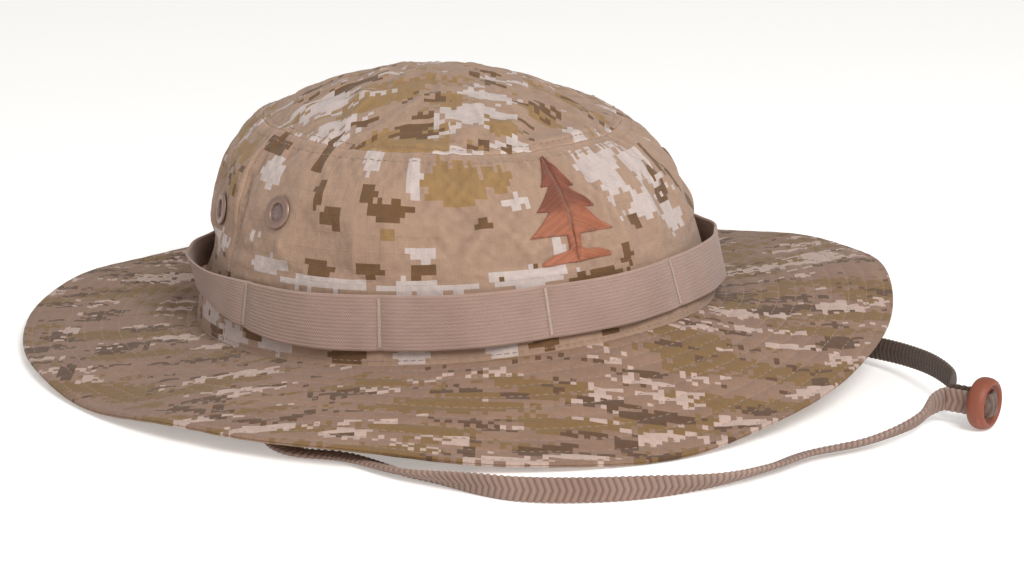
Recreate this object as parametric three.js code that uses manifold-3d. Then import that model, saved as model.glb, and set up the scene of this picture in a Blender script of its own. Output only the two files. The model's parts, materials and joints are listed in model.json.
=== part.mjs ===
// A cloth boonie hat: soft oval crown, row-stitched brim, webbing foliage band, four screened
// vents, and a braided chin cord with a leather keeper that lies in front of the hat.
// Millimetres, +Z up. The hat's front faces -Y and the wearer's left is +X.
import * as THREE from "three";
import { mergeVertices } from "three/addons/utils/BufferGeometryUtils.js";
import Module from "manifold-3d";

const wasm = await Module();
wasm.setup();

// ---------------------------------------------------------------- driving dimensions
const HEAD_HALF_WIDTH = 92.5; // crown base, outer face of the cloth, across the ears
const HEAD_HALF_LENGTH = 103; // crown base, front to back
const BRIM_WIDTH = 62;
const CROWN_SEAM_HEIGHT = 70; // from the head opening up to the top seam
const CROWN_TOP_HEIGHT = 87.5;
const CROWN_TAPER = 0.0022; // share of the radius lost per millimetre of height
const CROWN_ROLL_HEIGHT = 89; // where the rolling shoulder would close on the axis
const CROWN_ROLL_POWER = 6.6; // how suddenly the wall rolls into the top
const CROWN_TOP_POWER = 1.83; // how domed the top is
const CROWN_LEAN = new THREE.Vector3(-0.058, 0.03, 0); // sideways slump per unit of height
// Where the wall is pushed in above the band: an angle from the front and shares of the size.
const CROWN_DENT = { angle: -118, spread: 26, depth: 0.042, begins: 0.27, middle: 0.36, reach: 0.36 };

const GAP = 0.3; // clearance between neighbouring layers
const CLOTH = 1.0; // crown cloth
const PLY = 0.8; // each of the three brim layers
const BRIM_THICKNESS = 3 * PLY + 2 * GAP;
const REST_LEVEL = -11.9; // the table, below the centre of the head opening
const INTERLINING_INSET = 3; // the stiff layer stops short of the brim's edge
const LEVEL_RIM = 0.88; // share of the brim's width beyond which it runs level

const SWEATBAND = { height: 30, thickness: 1.0 };
const BINDING = { top: 65.5, height: 7, thickness: 0.8, standOff: 0.9 };
const LABEL = { halfAngle: 10, low: 8, high: 22, thickness: 0.4 };

// The band starts and ends at the rear; its start is an angle from the front.
const BAND = {
  width: 19,
  thickness: 1.2,
  middle: 16,
  standOff: 0.8,
  start: -189,
  overlap: 9,
  endLap: 1.8,
};
// Tack angles from the front, positive towards the wearer's left, and how far each loop that
// follows the tack stands away from the crown.
const BAND_TACKS = [
  { angle: -184.5, loopBulge: 2.5 },
  { angle: -144.5, loopBulge: 6.5 },
  { angle: -79.5, loopBulge: 2 },
  { angle: -44.5, loopBulge: 2.2 },
  { angle: -9.5, loopBulge: 2 },
  { angle: 25.5, loopBulge: 4 },
  { angle: 91.5, loopBulge: 3 },
  { angle: 135.5, loopBulge: 2.5 },
];
const TACK = { halfAngle: 0.5, height: 17, thickness: 0.7 };

// Each side has two vents: their angles from the front towards the ear, and their heights.
const VENT_FRONT = { angle: 72.5, height: 48.5 };
const VENT_REAR = { angle: 99.5, height: 43 };
// Radii of a vent's pieces.
const VENT = { hole: 4.3, flange: 5.8, barrel: 3.9, opening: 3.1, groove: 3.6, screen: 3.4 };
const FLANGE_THICKNESS = 0.9;
const SCREEN_THICKNESS = 0.35;
const WASHER_THICKNESS = 0.7;

const EMBLEM = { width: 31, height: 36, middle: 50.5, thickness: 0.8 };

const CORD = { width: 8, thickness: 2.2 };
const KEEPER = { radius: 8.6, thickness: 6.5, recessRadius: 6.3, recessDepth: 1.8, rounding: 2.0 };
const KEEPER_CENTRE = new THREE.Vector3(99, -183, REST_LEVEL + KEEPER.radius);
const KEEPER_AZIMUTH = 297.5; // direction of its outer face, degrees from +X
const KEEPER_SLOT = { clearance: 0.35, spacing: 5.2 };
const KEEPER_TRAVEL = 8;
const ANCHOR = { x: 83.5, y: 0, z: -1.5 }; // the cord's sewn ends, beside the ears

const FRONT = 270; // azimuth of the hat's front, in degrees from +X
const REAR = 90;
const AROUND = 60; // facets round the head
const VENT_FACETS = 16;
const CORD_STEPS = 4; // rows of facets between two hand-placed points of the cord

// ---------------------------------------------------------------- the hat's curved surfaces
const radians = THREE.MathUtils.degToRad;
const clamp = THREE.MathUtils.clamp;
const lerp = THREE.MathUtils.lerp;

// The angle moved into the turn that starts at the given angle.
function wrap(angle, start) {
  return THREE.MathUtils.euclideanModulo(angle - start, 360) + start;
}

// A smooth local rise of height 1 at the given direction.
function swell(azimuth, at, spread) {
  return Math.exp(-((wrap(azimuth - at, -180) / spread) ** 2));
}

// Height of the crown and brim seam. The crown is tipped up at the front and a little to the left.
function baseHeight(azimuth) {
  const front = -7.7 * Math.sin(radians(azimuth));
  const left = 2.7 * Math.cos(radians(azimuth));
  const saddle = -1.5 * Math.cos(radians(2 * azimuth - 48));
  return front + left + saddle;
}

// Height of the brim's edge: low all round, lifted at the front left, resting on three dips.
function edgeHeight(azimuth) {
  const lift = 19 * swell(azimuth, 337, 40);
  const frontDip = -4.0 * swell(azimuth, 262, 24);
  const cordRise = 3.0 * swell(azimuth, 222, 20);
  const sideDip = -2.6 * swell(azimuth, 183, 25);
  const rearDip = -4.3 * swell(azimuth, 85, 25);
  return -6.8 + lift + frontDip + cordRise + sideDip + rearDip;
}

function ellipsePoint(azimuth, halfWidth, halfLength, z) {
  const a = radians(azimuth);
  return new THREE.Vector3(halfWidth * Math.cos(a), halfLength * Math.sin(a), z);
}

// Middle surface of the brim: out is 0 at the seam and 1 at the edge.
function brimMiddle(azimuth, out) {
  const fall = clamp(out / LEVEL_RIM, 0, 1);
  const height = lerp(baseHeight(azimuth), edgeHeight(azimuth), fall);
  const z = Math.max(height, REST_LEVEL + BRIM_THICKNESS / 2);
  const grow = BRIM_WIDTH * out;
  return ellipsePoint(azimuth, HEAD_HALF_WIDTH + grow, HEAD_HALF_LENGTH + grow, z);
}

// One horizontal layer of the brim, between two distances above its middle surface.
function brimLayer(low, high, outEdge) {
  const inEdge = -(CLOTH + SWEATBAND.thickness + GAP) / BRIM_WIDTH;
  const rings = [inEdge, 0.3, 0.6, LEVEL_RIM, outEdge];
  const rows = rings.length - 1;
  const at = (lift) => (azimuth, v) => {
    const point = brimMiddle(azimuth, rings[Math.round(v * rows)]);
    point.z += lift;
    return point;
  };
  return sheet(at(high), at(low), 0, 360, AROUND, rows);
}

// Share by which the crown is pushed in, mostly just above the band at the wearer's rear right.
function crownDent(azimuth, up) {
  const begins = 1 - Math.exp(-((up / CROWN_DENT.begins) ** 4));
  const fades = Math.exp(-(((up - CROWN_DENT.middle) / CROWN_DENT.reach) ** 2));
  const around = swell(azimuth, FRONT + CROWN_DENT.angle, CROWN_DENT.spread);
  return CROWN_DENT.depth * around * begins * fades;
}

// Outer face of the crown. up runs 0 to 1 over the side wall and 1 to 2 over the top.
function crownFace(azimuth, up) {
  const seamShare = (1 - CROWN_TAPER * CROWN_SEAM_HEIGHT) * rollShare(CROWN_SEAM_HEIGHT);
  let share;
  let z;
  if (up <= 1) {
    const height = CROWN_SEAM_HEIGHT * up;
    share = (1 - CROWN_TAPER * height) * rollShare(height);
    z = lerp(baseHeight(azimuth), CROWN_SEAM_HEIGHT, up);
  } else {
    const rim = 2 - up;
    share = seamShare * rim;
    z = lerp(CROWN_TOP_HEIGHT, CROWN_SEAM_HEIGHT, rim ** CROWN_TOP_POWER);
  }
  share *= 1 - crownDent(azimuth, up);
  const point = ellipsePoint(azimuth, HEAD_HALF_WIDTH * share, HEAD_HALF_LENGTH * share, z);
  return point.addScaledVector(CROWN_LEAN, z);
}

function rollShare(height) {
  return 1 - (height / CROWN_ROLL_HEIGHT) ** CROWN_ROLL_POWER;
}

function crownNormal(azimuth, up) {
  if (up > 1.97) return new THREE.Vector3(0, 0, 1);
  const step = 0.01;
  const across = crownFace(azimuth + 1, up).sub(crownFace(azimuth - 1, up));
  const along = crownFace(azimuth, up + step).sub(crownFace(azimuth, up - step));
  return across.cross(along).normalize();
}

// A point a given distance outside the crown's outer face, or inside it when negative.
function crownOffset(azimuth, up, distance) {
  return crownFace(azimuth, up).addScaledVector(crownNormal(azimuth, up), distance);
}

// A strip that follows the crown, between two azimuths, two heights and two distances outside
// the crown's outer face. standOff, where given, adds a distance that varies with the azimuth.
function crownStrip({ from, to, low, high, inner, outer, columns, rows, standOff = () => 0 }) {
  const up = (v) => lerp(low, high, v) / CROWN_SEAM_HEIGHT;
  const face = (distance) => (azimuth, v) => crownOffset(azimuth, up(v), distance + standOff(azimuth));
  return sheet(face(outer), face(inner), from, to, columns, rows);
}

// ---------------------------------------------------------------- solids
// Closes two faces, given as functions of azimuth and v, into one solid. A span of 360 degrees
// closes on itself.
function sheet(outerFace, innerFace, from, to, columns, rows) {
  const full = Math.abs(to - from - 360) < 1e-6;
  const grid = (face) => {
    const lines = [];
    for (let i = 0; i <= columns; i += 1) {
      const azimuth = full && i === columns ? from : lerp(from, to, i / columns);
      const line = [];
      for (let j = 0; j <= rows; j += 1) line.push(face(azimuth, j / rows));
      lines.push(line);
    }
    return lines;
  };
  const outer = grid(outerFace);
  const inner = grid(innerFace);
  const soup = [];
  const quad = (a, b, c, d) => soup.push(a, b, c, a, c, d);
  for (let i = 0; i < columns; i += 1) {
    for (let j = 0; j < rows; j += 1) {
      quad(outer[i][j], outer[i + 1][j], outer[i + 1][j + 1], outer[i][j + 1]);
      quad(inner[i][j], inner[i][j + 1], inner[i + 1][j + 1], inner[i + 1][j]);
    }
    quad(outer[i][0], inner[i][0], inner[i + 1][0], outer[i + 1][0]);
    quad(outer[i][rows], outer[i + 1][rows], inner[i + 1][rows], inner[i][rows]);
  }
  if (!full) {
    for (let j = 0; j < rows; j += 1) {
      quad(outer[0][j], outer[0][j + 1], inner[0][j + 1], inner[0][j]);
      const last = columns;
      quad(outer[last][j], inner[last][j], inner[last][j + 1], outer[last][j + 1]);
    }
  }
  return closedGeometry(soup);
}

// Welds a triangle soup, drops collapsed triangles and turns its faces outwards.
function closedGeometry(soup) {
  const merged = mergeVertices(new THREE.BufferGeometry().setFromPoints(soup), 1e-4);
  const position = merged.getAttribute("position");
  const corners = Array.from(merged.index.array);
  const faces = [];
  const a = new THREE.Vector3();
  const b = new THREE.Vector3();
  const c = new THREE.Vector3();
  let volume = 0;
  for (let k = 0; k < corners.length; k += 3) {
    const [i, j, l] = corners.slice(k, k + 3);
    if (i === j || j === l || l === i) continue;
    faces.push([i, j, l]);
    a.fromBufferAttribute(position, i);
    b.fromBufferAttribute(position, j);
    c.fromBufferAttribute(position, l);
    volume += a.dot(b.cross(c));
  }
  merged.setIndex(faces.flatMap(([i, j, l]) => (volume < 0 ? [i, l, j] : [i, j, l])));
  return merged;
}

function positionsOnly(geometry) {
  const plain = geometry.clone();
  plain.deleteAttribute("normal");
  plain.deleteAttribute("uv");
  return closedGeometry(soupOf(plain));
}

function soupOf(geometry) {
  const flat = geometry.index ? geometry.toNonIndexed() : geometry;
  const position = flat.getAttribute("position");
  const points = [];
  for (let i = 0; i < position.count; i += 1) {
    points.push(new THREE.Vector3().fromBufferAttribute(position, i));
  }
  return points;
}

function toSolid(geometry) {
  const closed = positionsOnly(geometry);
  return new wasm.Manifold(
    new wasm.Mesh({
      numProp: 3,
      vertProperties: new Float32Array(closed.getAttribute("position").array),
      triVerts: new Uint32Array(closed.index.array),
    }),
  );
}

function fromSolid(solid) {
  const mesh = solid.getMesh();
  const geometry = new THREE.BufferGeometry();
  geometry.setAttribute("position", new THREE.BufferAttribute(mesh.vertProperties, 3));
  geometry.setIndex(new THREE.BufferAttribute(mesh.triVerts, 1));
  return geometry;
}

function cut(geometry, tools) {
  let solid = toSolid(geometry);
  for (const tool of tools) solid = solid.subtract(toSolid(tool));
  return fromSolid(solid);
}

// A frame on the crown's face with its Y axis pointing out of the cloth.
function ventFrame({ azimuth, height }) {
  const up = height / CROWN_SEAM_HEIGHT;
  const out = crownNormal(azimuth, up);
  const turn = new THREE.Quaternion().setFromUnitVectors(new THREE.Vector3(0, 1, 0), out);
  return new THREE.Matrix4().compose(crownFace(azimuth, up), turn, new THREE.Vector3(1, 1, 1));
}

// Turns a closed outline of [radius, height] pairs round the Y axis.
function turned(outline, segments) {
  const points = [...outline, outline[0]].map(([r, y]) => new THREE.Vector2(r, y));
  return positionsOnly(new THREE.LatheGeometry(points, segments));
}

// ---------------------------------------------------------------- crown
const SIDE_LOW = BRIM_THICKNESS / 2 + 3 * GAP;
const SEAM_GAP_HALF = GAP / 2 / CROWN_SEAM_HEIGHT;
const SIDE_SEAM_HALF = 0.1; // degrees, half the gap between the side panels

// side is -1 for the wearer's right and 1 for the left.
function ventAt(side, { angle, height }) {
  return { azimuth: wrap(FRONT + side * angle, 0), height };
}

function ventHole(vent) {
  const throughCloth = 12 * CLOTH;
  const hole = new THREE.CylinderGeometry(VENT.hole, VENT.hole, throughCloth, VENT_FACETS);
  return hole.applyMatrix4(ventFrame(vent));
}

function crownSide(from, vents) {
  const panel = crownStrip({
    from: from + SIDE_SEAM_HALF,
    to: from + 180 - SIDE_SEAM_HALF,
    low: SIDE_LOW,
    high: CROWN_SEAM_HEIGHT * (1 - SEAM_GAP_HALF),
    inner: -CLOTH,
    outer: 0,
    columns: AROUND / 2,
    rows: 9,
  });
  return cut(panel, vents.map(ventHole));
}

function crownTop() {
  const up = (v) => lerp(1 + SEAM_GAP_HALF, 2, v);
  const outer = (azimuth, v) => crownOffset(azimuth, up(v), 0);
  const inner = (azimuth, v) => crownOffset(azimuth, up(v), -CLOTH);
  return sheet(outer, inner, 0, 360, AROUND, 5);
}

// A closed ring of cloth that lines the inside of the crown.
function liningRing({ low, height, outer, thickness, rows }) {
  const inner = outer - thickness;
  return crownStrip({ from: 0, to: 360, low, high: low + height, inner, outer, columns: AROUND, rows });
}

function crownBinding() {
  const { top, height, standOff, thickness } = BINDING;
  return liningRing({ low: top - height, height, outer: -CLOTH - standOff, thickness, rows: 1 });
}

function sweatband() {
  return liningRing({ low: SIDE_LOW, outer: -CLOTH - GAP, rows: 4, ...SWEATBAND });
}

function sizeLabel() {
  const outer = -CLOTH - GAP - SWEATBAND.thickness - GAP;
  return crownStrip({
    from: REAR - LABEL.halfAngle,
    to: REAR + LABEL.halfAngle,
    low: LABEL.low,
    high: LABEL.high,
    inner: outer - LABEL.thickness,
    outer,
    columns: 4,
    rows: 1,
  });
}

// ---------------------------------------------------------------- foliage band
const FIRST_TACK = BAND_TACKS[0].angle;
const LAP_RUN_UP = 5; // degrees over which the band's outer end rises onto its inner end
const LOOP_ROUNDNESS = 1.5; // higher values pinch a loop closer to its tacks

// How far the band's inner face stands off the crown, at an angle from the front.
function bandStandOff(angle) {
  const wrapped = wrap(angle, FIRST_TACK);
  const starts = BAND_TACKS.map((tack) => tack.angle);
  const ends = [...starts.slice(1), FIRST_TACK + 360];
  const i = ends.findIndex((end) => wrapped <= end);
  const along = (wrapped - starts[i]) / (ends[i] - starts[i]);
  const bulge = Math.sin(Math.PI * along) ** LOOP_ROUNDNESS;
  return BAND.standOff + BAND_TACKS[i].loopBulge * bulge;
}

// The band is one length of webbing whose outer end laps over its inner end at the rear.
function foliageBand() {
  const lapBegins = BAND.start + 360 - LAP_RUN_UP - 1;
  const standOff = (azimuth) => {
    const angle = azimuth - FRONT;
    const lap = clamp((angle - lapBegins) / LAP_RUN_UP, 0, 1) * BAND.endLap;
    return bandStandOff(angle) + lap;
  };
  return crownStrip({
    from: FRONT + BAND.start,
    to: FRONT + BAND.start + 360 + BAND.overlap,
    low: BAND.middle - BAND.width / 2,
    high: BAND.middle + BAND.width / 2,
    inner: 0,
    outer: BAND.thickness,
    columns: 82,
    rows: 1,
    standOff,
  });
}

// A bar of stitching standing on the band's outer face. The first one stands on the lapped ends.
function bandTack(angle) {
  const lap = angle === FIRST_TACK ? BAND.endLap : 0;
  const inner = BAND.standOff + BAND.thickness + lap + 2 * GAP;
  return crownStrip({
    from: FRONT + angle - TACK.halfAngle,
    to: FRONT + angle + TACK.halfAngle,
    low: BAND.middle - TACK.height / 2,
    high: BAND.middle + TACK.height / 2,
    inner,
    outer: inner + TACK.thickness,
    columns: 1,
    rows: 1,
  });
}

// ---------------------------------------------------------------- vents
// Heights are measured out of the cloth's outer face.
const FLANGE_LOW = 1.5 * GAP;
const BARREL_LOW = -CLOTH - 1.6;
const WASHER_TOP = -CLOTH - 2.5 * GAP;

// A flanged barrel with a groove inside it that holds the screen.
function ventEyelet() {
  const flangeTop = FLANGE_LOW + FLANGE_THICKNESS;
  const grooveLow = -0.2;
  const outline = [
    [VENT.opening, BARREL_LOW],
    [VENT.opening, grooveLow],
    [VENT.groove, grooveLow],
    [VENT.groove, FLANGE_LOW],
    [VENT.opening, FLANGE_LOW],
    [VENT.opening + 0.3, flangeTop],
    [VENT.flange - 0.7, flangeTop],
    [VENT.flange, flangeTop - 0.5],
    [VENT.flange, FLANGE_LOW],
    [VENT.barrel, FLANGE_LOW],
    [VENT.barrel, BARREL_LOW],
  ];
  return turned(outline, VENT_FACETS);
}

function ventScreen() {
  const disc = new THREE.CylinderGeometry(VENT.screen, VENT.screen, SCREEN_THICKNESS, VENT_FACETS);
  const aboveCloth = 0.12; // inside the eyelet's groove
  return disc.translate(0, aboveCloth, 0);
}

function ventWasher() {
  const bore = VENT.barrel + GAP;
  const rim = VENT.flange - GAP;
  const washerLow = WASHER_TOP - WASHER_THICKNESS;
  const outline = [
    [bore, WASHER_TOP],
    [rim, WASHER_TOP],
    [rim, washerLow],
    [bore, washerLow],
  ];
  return turned(outline, VENT_FACETS);
}

// ---------------------------------------------------------------- emblem
// The right half of a plain pine tree as [share of half width, share of height]: three tiers of
// branches, a trunk, and a mound of ground.
const TREE_HALF = [
  [0, 0.5],
  [0.46, 0.24],
  [0.26, 0.24],
  [0.74, 0.02],
  [0.44, 0.02],
  [1, -0.22],
  [0.15, -0.22],
  [0.15, -0.36],
  [0.5, -0.39],
  [0.8, -0.46],
  [0.8, -0.5],
];

function emblemShape() {
  const right = TREE_HALF.map(([x, y]) => new THREE.Vector2((x * EMBLEM.width) / 2, y * EMBLEM.height));
  const left = right.slice(1).reverse().map((corner) => new THREE.Vector2(-corner.x, corner.y));
  return new THREE.Shape([...right, ...left]);
}

// The part of a thin shell on the crown's front that lies inside the tree's outline.
function emblemPatch() {
  const spread = 18; // degrees to each side of the front, wider than the tree
  const margin = 3;
  const inner = GAP + 0.1;
  const shell = crownStrip({
    from: FRONT - spread,
    to: FRONT + spread,
    low: EMBLEM.middle - EMBLEM.height / 2 - margin,
    high: CROWN_SEAM_HEIGHT - GAP,
    inner,
    outer: inner + EMBLEM.thickness,
    columns: 6,
    rows: 5,
  });
  const depth = 60;
  const prism = new THREE.ExtrudeGeometry(emblemShape(), { depth, bevelEnabled: false });
  const centre = crownFace(FRONT, EMBLEM.middle / CROWN_SEAM_HEIGHT);
  prism.rotateX(Math.PI / 2);
  prism.translate(centre.x, centre.y + depth / 2, centre.z);
  return fromSolid(toSolid(shell).intersect(toSolid(prism)));
}

// ---------------------------------------------------------------- chin cord and keeper
// A point of the cord near the keeper, from its distances along and across the keeper's axis.
function nearKeeper(outward, sideways) {
  const out = ellipsePoint(KEEPER_AZIMUTH, outward, outward, 0);
  const side = ellipsePoint(KEEPER_AZIMUTH + 90, sideways, sideways, 0);
  return KEEPER_CENTRE.clone().add(out).add(side);
}

// The cord's two strands, as hand-placed points with the tilt of the cord's width: 0 lies flat and
// 90 stands on edge. The right strand goes under the brim and round the front to the keeper, and the
// left one comes back from it.
const FLAT_LEVEL = REST_LEVEL + CORD.thickness / 2;
const EDGE_LEVEL = REST_LEVEL + CORD.width / 2;
const RIGHT_STRAND = [
  { at: [-ANCHOR.x, ANCHOR.y, ANCHOR.z], tilt: 90 },
  { at: [-ANCHOR.x, -9, ANCHOR.z - 0.8], tilt: 90 },
  { at: [-84, -28, -8], tilt: 84 },
  { at: [-97, -60, -9], tilt: 25 },
  { at: [-110, -86, FLAT_LEVEL], tilt: 6 },
  { at: [-109.6, -101.4, FLAT_LEVEL], tilt: 5 },
  { at: [-98.5, -113.5, FLAT_LEVEL], tilt: 6 },
  { at: [-88, -143, FLAT_LEVEL + 0.8], tilt: 30 },
  { at: [-70, -174, EDGE_LEVEL], tilt: 90 },
  { at: [-43, -189, EDGE_LEVEL], tilt: 90 },
  { at: [-12, -196.5, EDGE_LEVEL], tilt: 86 },
  { at: [11, -192, EDGE_LEVEL], tilt: 55 },
  { at: [29, -186, EDGE_LEVEL], tilt: 50 },
  { at: [53, -185.5, EDGE_LEVEL], tilt: 58 },
  { at: [74, -181, EDGE_LEVEL + 2.4], tilt: 76 },
  { at: [85, -174, EDGE_LEVEL + 3.8], tilt: 86 },
];
const LEFT_STRAND = [
  { at: [104, -160, -2.6], tilt: 90 },
  { at: [108, -146, -2.6], tilt: 90 },
  { at: [111, -125, -4], tilt: 90 },
  { at: [109, -98, -5.6], tilt: 80 },
  { at: [101, -64, -7.4], tilt: 62 },
  { at: [90, -30, -5], tilt: 78 },
  { at: [ANCHOR.x, -9, ANCHOR.z - 0.6], tilt: 90 },
  { at: [ANCHOR.x, ANCHOR.y, ANCHOR.z], tilt: 90 },
];

// The whole cord: the right strand, the bight through the keeper, and the left strand.
function cordPath() {
  const bight = cordBight();
  const guideRows = CORD_STEPS + 1; // the guide stretch runs into the bight, which replaces it
  return [
    ...smoothed([...RIGHT_STRAND, bight[0], bight[1]]).slice(0, -guideRows),
    ...bight,
    ...smoothed([bight.at(-2), bight.at(-1), ...LEFT_STRAND]).slice(guideRows),
  ];
}

// The cord runs straight into one slot of the keeper, turns two tight corners over its face and
// runs straight back through the other slot.
function cordBight() {
  const half = KEEPER_SLOT.spacing / 2;
  const straightEnds = -KEEPER.thickness / 2 - KEEPER_TRAVEL - 1;
  const dishFloor = KEEPER.thickness / 2 - KEEPER.recessDepth;
  const farthest = dishFloor + GAP + CORD.thickness / 2;
  const corner = CORD.thickness / 2 + 0.25;
  const turns = [0, 30, 60, 90].map(radians);
  const oneHalf = [
    [straightEnds, half],
    [straightEnds / 2, half],
  ];
  for (const turn of turns) {
    const outward = farthest - corner + corner * Math.sin(turn);
    oneHalf.push([outward, half - corner + corner * Math.cos(turn)]);
  }
  const oneSide = oneHalf.map(([outward, sideways]) => nearKeeper(outward, -sideways));
  const otherSide = oneHalf.map(([outward, sideways]) => nearKeeper(outward, sideways)).reverse();
  return [...oneSide, ...otherSide].map((point) => ({ at: point.toArray(), tilt: 90 }));
}

// Splits each stretch between hand-placed points along a smooth curve.
function smoothed(stations) {
  const points = stations.map((station) => new THREE.Vector3(...station.at));
  const curve = new THREE.CatmullRomCurve3(points, false, "centripetal");
  const stretches = stations.length - 1;
  const rows = [];
  for (let k = 0; k <= stretches * CORD_STEPS; k += 1) {
    const i = Math.min(Math.floor(k / CORD_STEPS), stretches - 1);
    const tilt = lerp(stations[i].tilt, stations[i + 1].tilt, k / CORD_STEPS - i);
    rows.push({ at: curve.getPoint(k / (stretches * CORD_STEPS)).toArray(), tilt });
  }
  return rows;
}

// Sweeps the cord's flat section along its path, with a rounded end at both anchors.
function chinCord() {
  const rows = cordPath();
  const points = rows.map((row) => new THREE.Vector3(...row.at));
  const rings = points.map((point, i) => {
    const before = points[Math.max(i - 1, 0)];
    const after = points[Math.min(i + 1, points.length - 1)];
    return cordSection(point, after.clone().sub(before).normalize(), radians(rows[i].tilt));
  });
  const soup = [];
  for (let i = 0; i + 1 < rings.length; i += 1) {
    const [here, next] = [rings[i], rings[i + 1]];
    for (let k = 0; k < here.length; k += 1) {
      const l = (k + 1) % here.length;
      soup.push(here[k], here[l], next[l], here[k], next[l], next[k]);
    }
  }
  const [a, b, c, d] = rings[0];
  const [e, f, g, h] = rings.at(-1);
  soup.push(a, c, b, a, d, c, e, f, g, e, g, h);
  const tape = toSolid(closedGeometry(soup));
  return fromSolid(tape.add(toSolid(cordEnd(-1))).add(toSolid(cordEnd(1))));
}

// The round end of the cord, centred on the hinge axis so that it can turn beside its tab.
function cordEnd(side) {
  const disc = new THREE.CylinderGeometry(CORD.width / 2, CORD.width / 2, CORD.thickness, 16);
  return disc.rotateZ(Math.PI / 2).translate(side * ANCHOR.x, ANCHOR.y, ANCHOR.z);
}

// The four corners of the cord's section. A section that would dip into the table is lifted.
function cordSection(point, along, tilt) {
  const level = new THREE.Vector3(along.y, -along.x, 0).normalize();
  const upright = level.clone().cross(along).normalize();
  if (upright.z < 0) upright.negate();
  const wide = level.multiplyScalar(Math.cos(tilt)).addScaledVector(upright, Math.sin(tilt));
  const thick = wide.clone().cross(along).normalize();
  wide.multiplyScalar(CORD.width / 2);
  thick.multiplyScalar(CORD.thickness / 2);
  const reach = Math.abs(wide.z) + Math.abs(thick.z);
  const centre = point.clone().setZ(Math.max(point.z, REST_LEVEL + reach));
  const corners = [[-1, -1], [1, -1], [1, 1], [-1, 1]];
  return corners.map(([w, t]) => centre.clone().addScaledVector(wide, w).addScaledVector(thick, t));
}

// A folded tape tab sewn to the sweatband, with the cord's end lapped on its inner face.
function cordEndTab(side) {
  const thickness = 1.4;
  const innerFace = ANCHOR.x + CORD.thickness / 2 + GAP;
  const half = CORD.width / 2;
  const tab = new THREE.Shape();
  tab.moveTo(-half, 3 * half);
  tab.lineTo(-half, 0);
  tab.absarc(0, 0, half, Math.PI, 2 * Math.PI, false);
  tab.lineTo(half, 3 * half);
  const geometry = new THREE.ExtrudeGeometry(tab, {
    depth: thickness,
    bevelEnabled: false,
    curveSegments: 8,
  });
  geometry.rotateX(Math.PI / 2);
  geometry.rotateZ(Math.PI / 2);
  const start = side > 0 ? innerFace : -innerFace - thickness;
  return geometry.translate(start, ANCHOR.y, ANCHOR.z);
}

// A leather button with a dished outer face and two slots for the cord.
function cordKeeper() {
  const half = KEEPER.thickness / 2;
  const floor = half - KEEPER.recessDepth;
  const edge = KEEPER.radius - KEEPER.rounding;
  const round = KEEPER.rounding * 0.3; // one point of the rounded rim, between its flat and its side
  const points = [
    [0, -half],
    [edge, -half],
    [KEEPER.radius - round, -half + round],
    [KEEPER.radius, -half + KEEPER.rounding],
    [KEEPER.radius, half - KEEPER.rounding],
    [KEEPER.radius - round, half - round],
    [edge, half],
    [KEEPER.recessRadius, floor],
    [0, floor],
  ].map(([r, y]) => new THREE.Vector2(r, y));
  const button = new THREE.LatheGeometry(points, 24);
  const slots = [-1, 1].map((side) => {
    const width = CORD.thickness + 2 * KEEPER_SLOT.clearance;
    const height = CORD.width + 2 * KEEPER_SLOT.clearance;
    const slot = new THREE.BoxGeometry(width, KEEPER.thickness * 2, height);
    return slot.translate((side * KEEPER_SLOT.spacing) / 2, 0, 0);
  });
  const geometry = cut(button, slots);
  geometry.rotateZ(radians(KEEPER_AZIMUTH - 90));
  return geometry.translate(...KEEPER_CENTRE.toArray());
}

// ---------------------------------------------------------------- materials and assembly
function cloth(color) {
  return new THREE.MeshStandardMaterial({ color, roughness: 0.95, metalness: 0 });
}

const hat = new THREE.Group();

function put(name, geometry, material) {
  const mesh = new THREE.Mesh(geometry, material);
  mesh.name = name;
  hat.add(mesh);
  return mesh;
}

const vents = {
  right_front: ventAt(-1, VENT_FRONT),
  right_rear: ventAt(-1, VENT_REAR),
  left_front: ventAt(1, VENT_FRONT),
  left_rear: ventAt(1, VENT_REAR),
};

put("crown_top", crownTop(), cloth(0xb59a86));
put("crown_side_front", crownSide(180, [vents.right_front, vents.left_front]), cloth(0xa68c7c));
put("crown_side_rear", crownSide(0, [vents.right_rear, vents.left_rear]), cloth(0xa08674));
put("crown_seam_binding", crownBinding(), cloth(0x8f7b68));
put("sweatband", sweatband(), cloth(0x9a8773));
put("size_label", sizeLabel(), cloth(0xe4ded2));

const layerStep = PLY + GAP;
const brimTop = BRIM_THICKNESS / 2;
put("brim_top_ply", brimLayer(brimTop - PLY, brimTop, 1), cloth(0x97796a));
const interliningEdge = 1 - INTERLINING_INSET / BRIM_WIDTH;
const interliningTop = brimTop - layerStep;
put("brim_interlining", brimLayer(interliningTop - PLY, interliningTop, interliningEdge), cloth(0xd8d2c4));
put("brim_bottom_ply", brimLayer(-brimTop, -brimTop + PLY, 1), cloth(0x8c7264));

put("foliage_band", foliageBand(), cloth(0xa48c7e));
BAND_TACKS.forEach(({ angle }, i) => {
  put(`band_tack_${i + 1}`, bandTack(angle), cloth(0x8a7062));
});

const ventMetal = { color: 0x8a7470, roughness: 0.5, metalness: 0.5 };
for (const [place, vent] of Object.entries(vents)) {
  const frame = ventFrame(vent);
  put(`vent_eyelet_${place}`, ventEyelet().applyMatrix4(frame), new THREE.MeshStandardMaterial(ventMetal));
  put(`vent_screen_${place}`, ventScreen().applyMatrix4(frame), new THREE.MeshStandardMaterial(ventMetal));
  put(`vent_washer_${place}`, ventWasher().applyMatrix4(frame), new THREE.MeshStandardMaterial(ventMetal));
}

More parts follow.
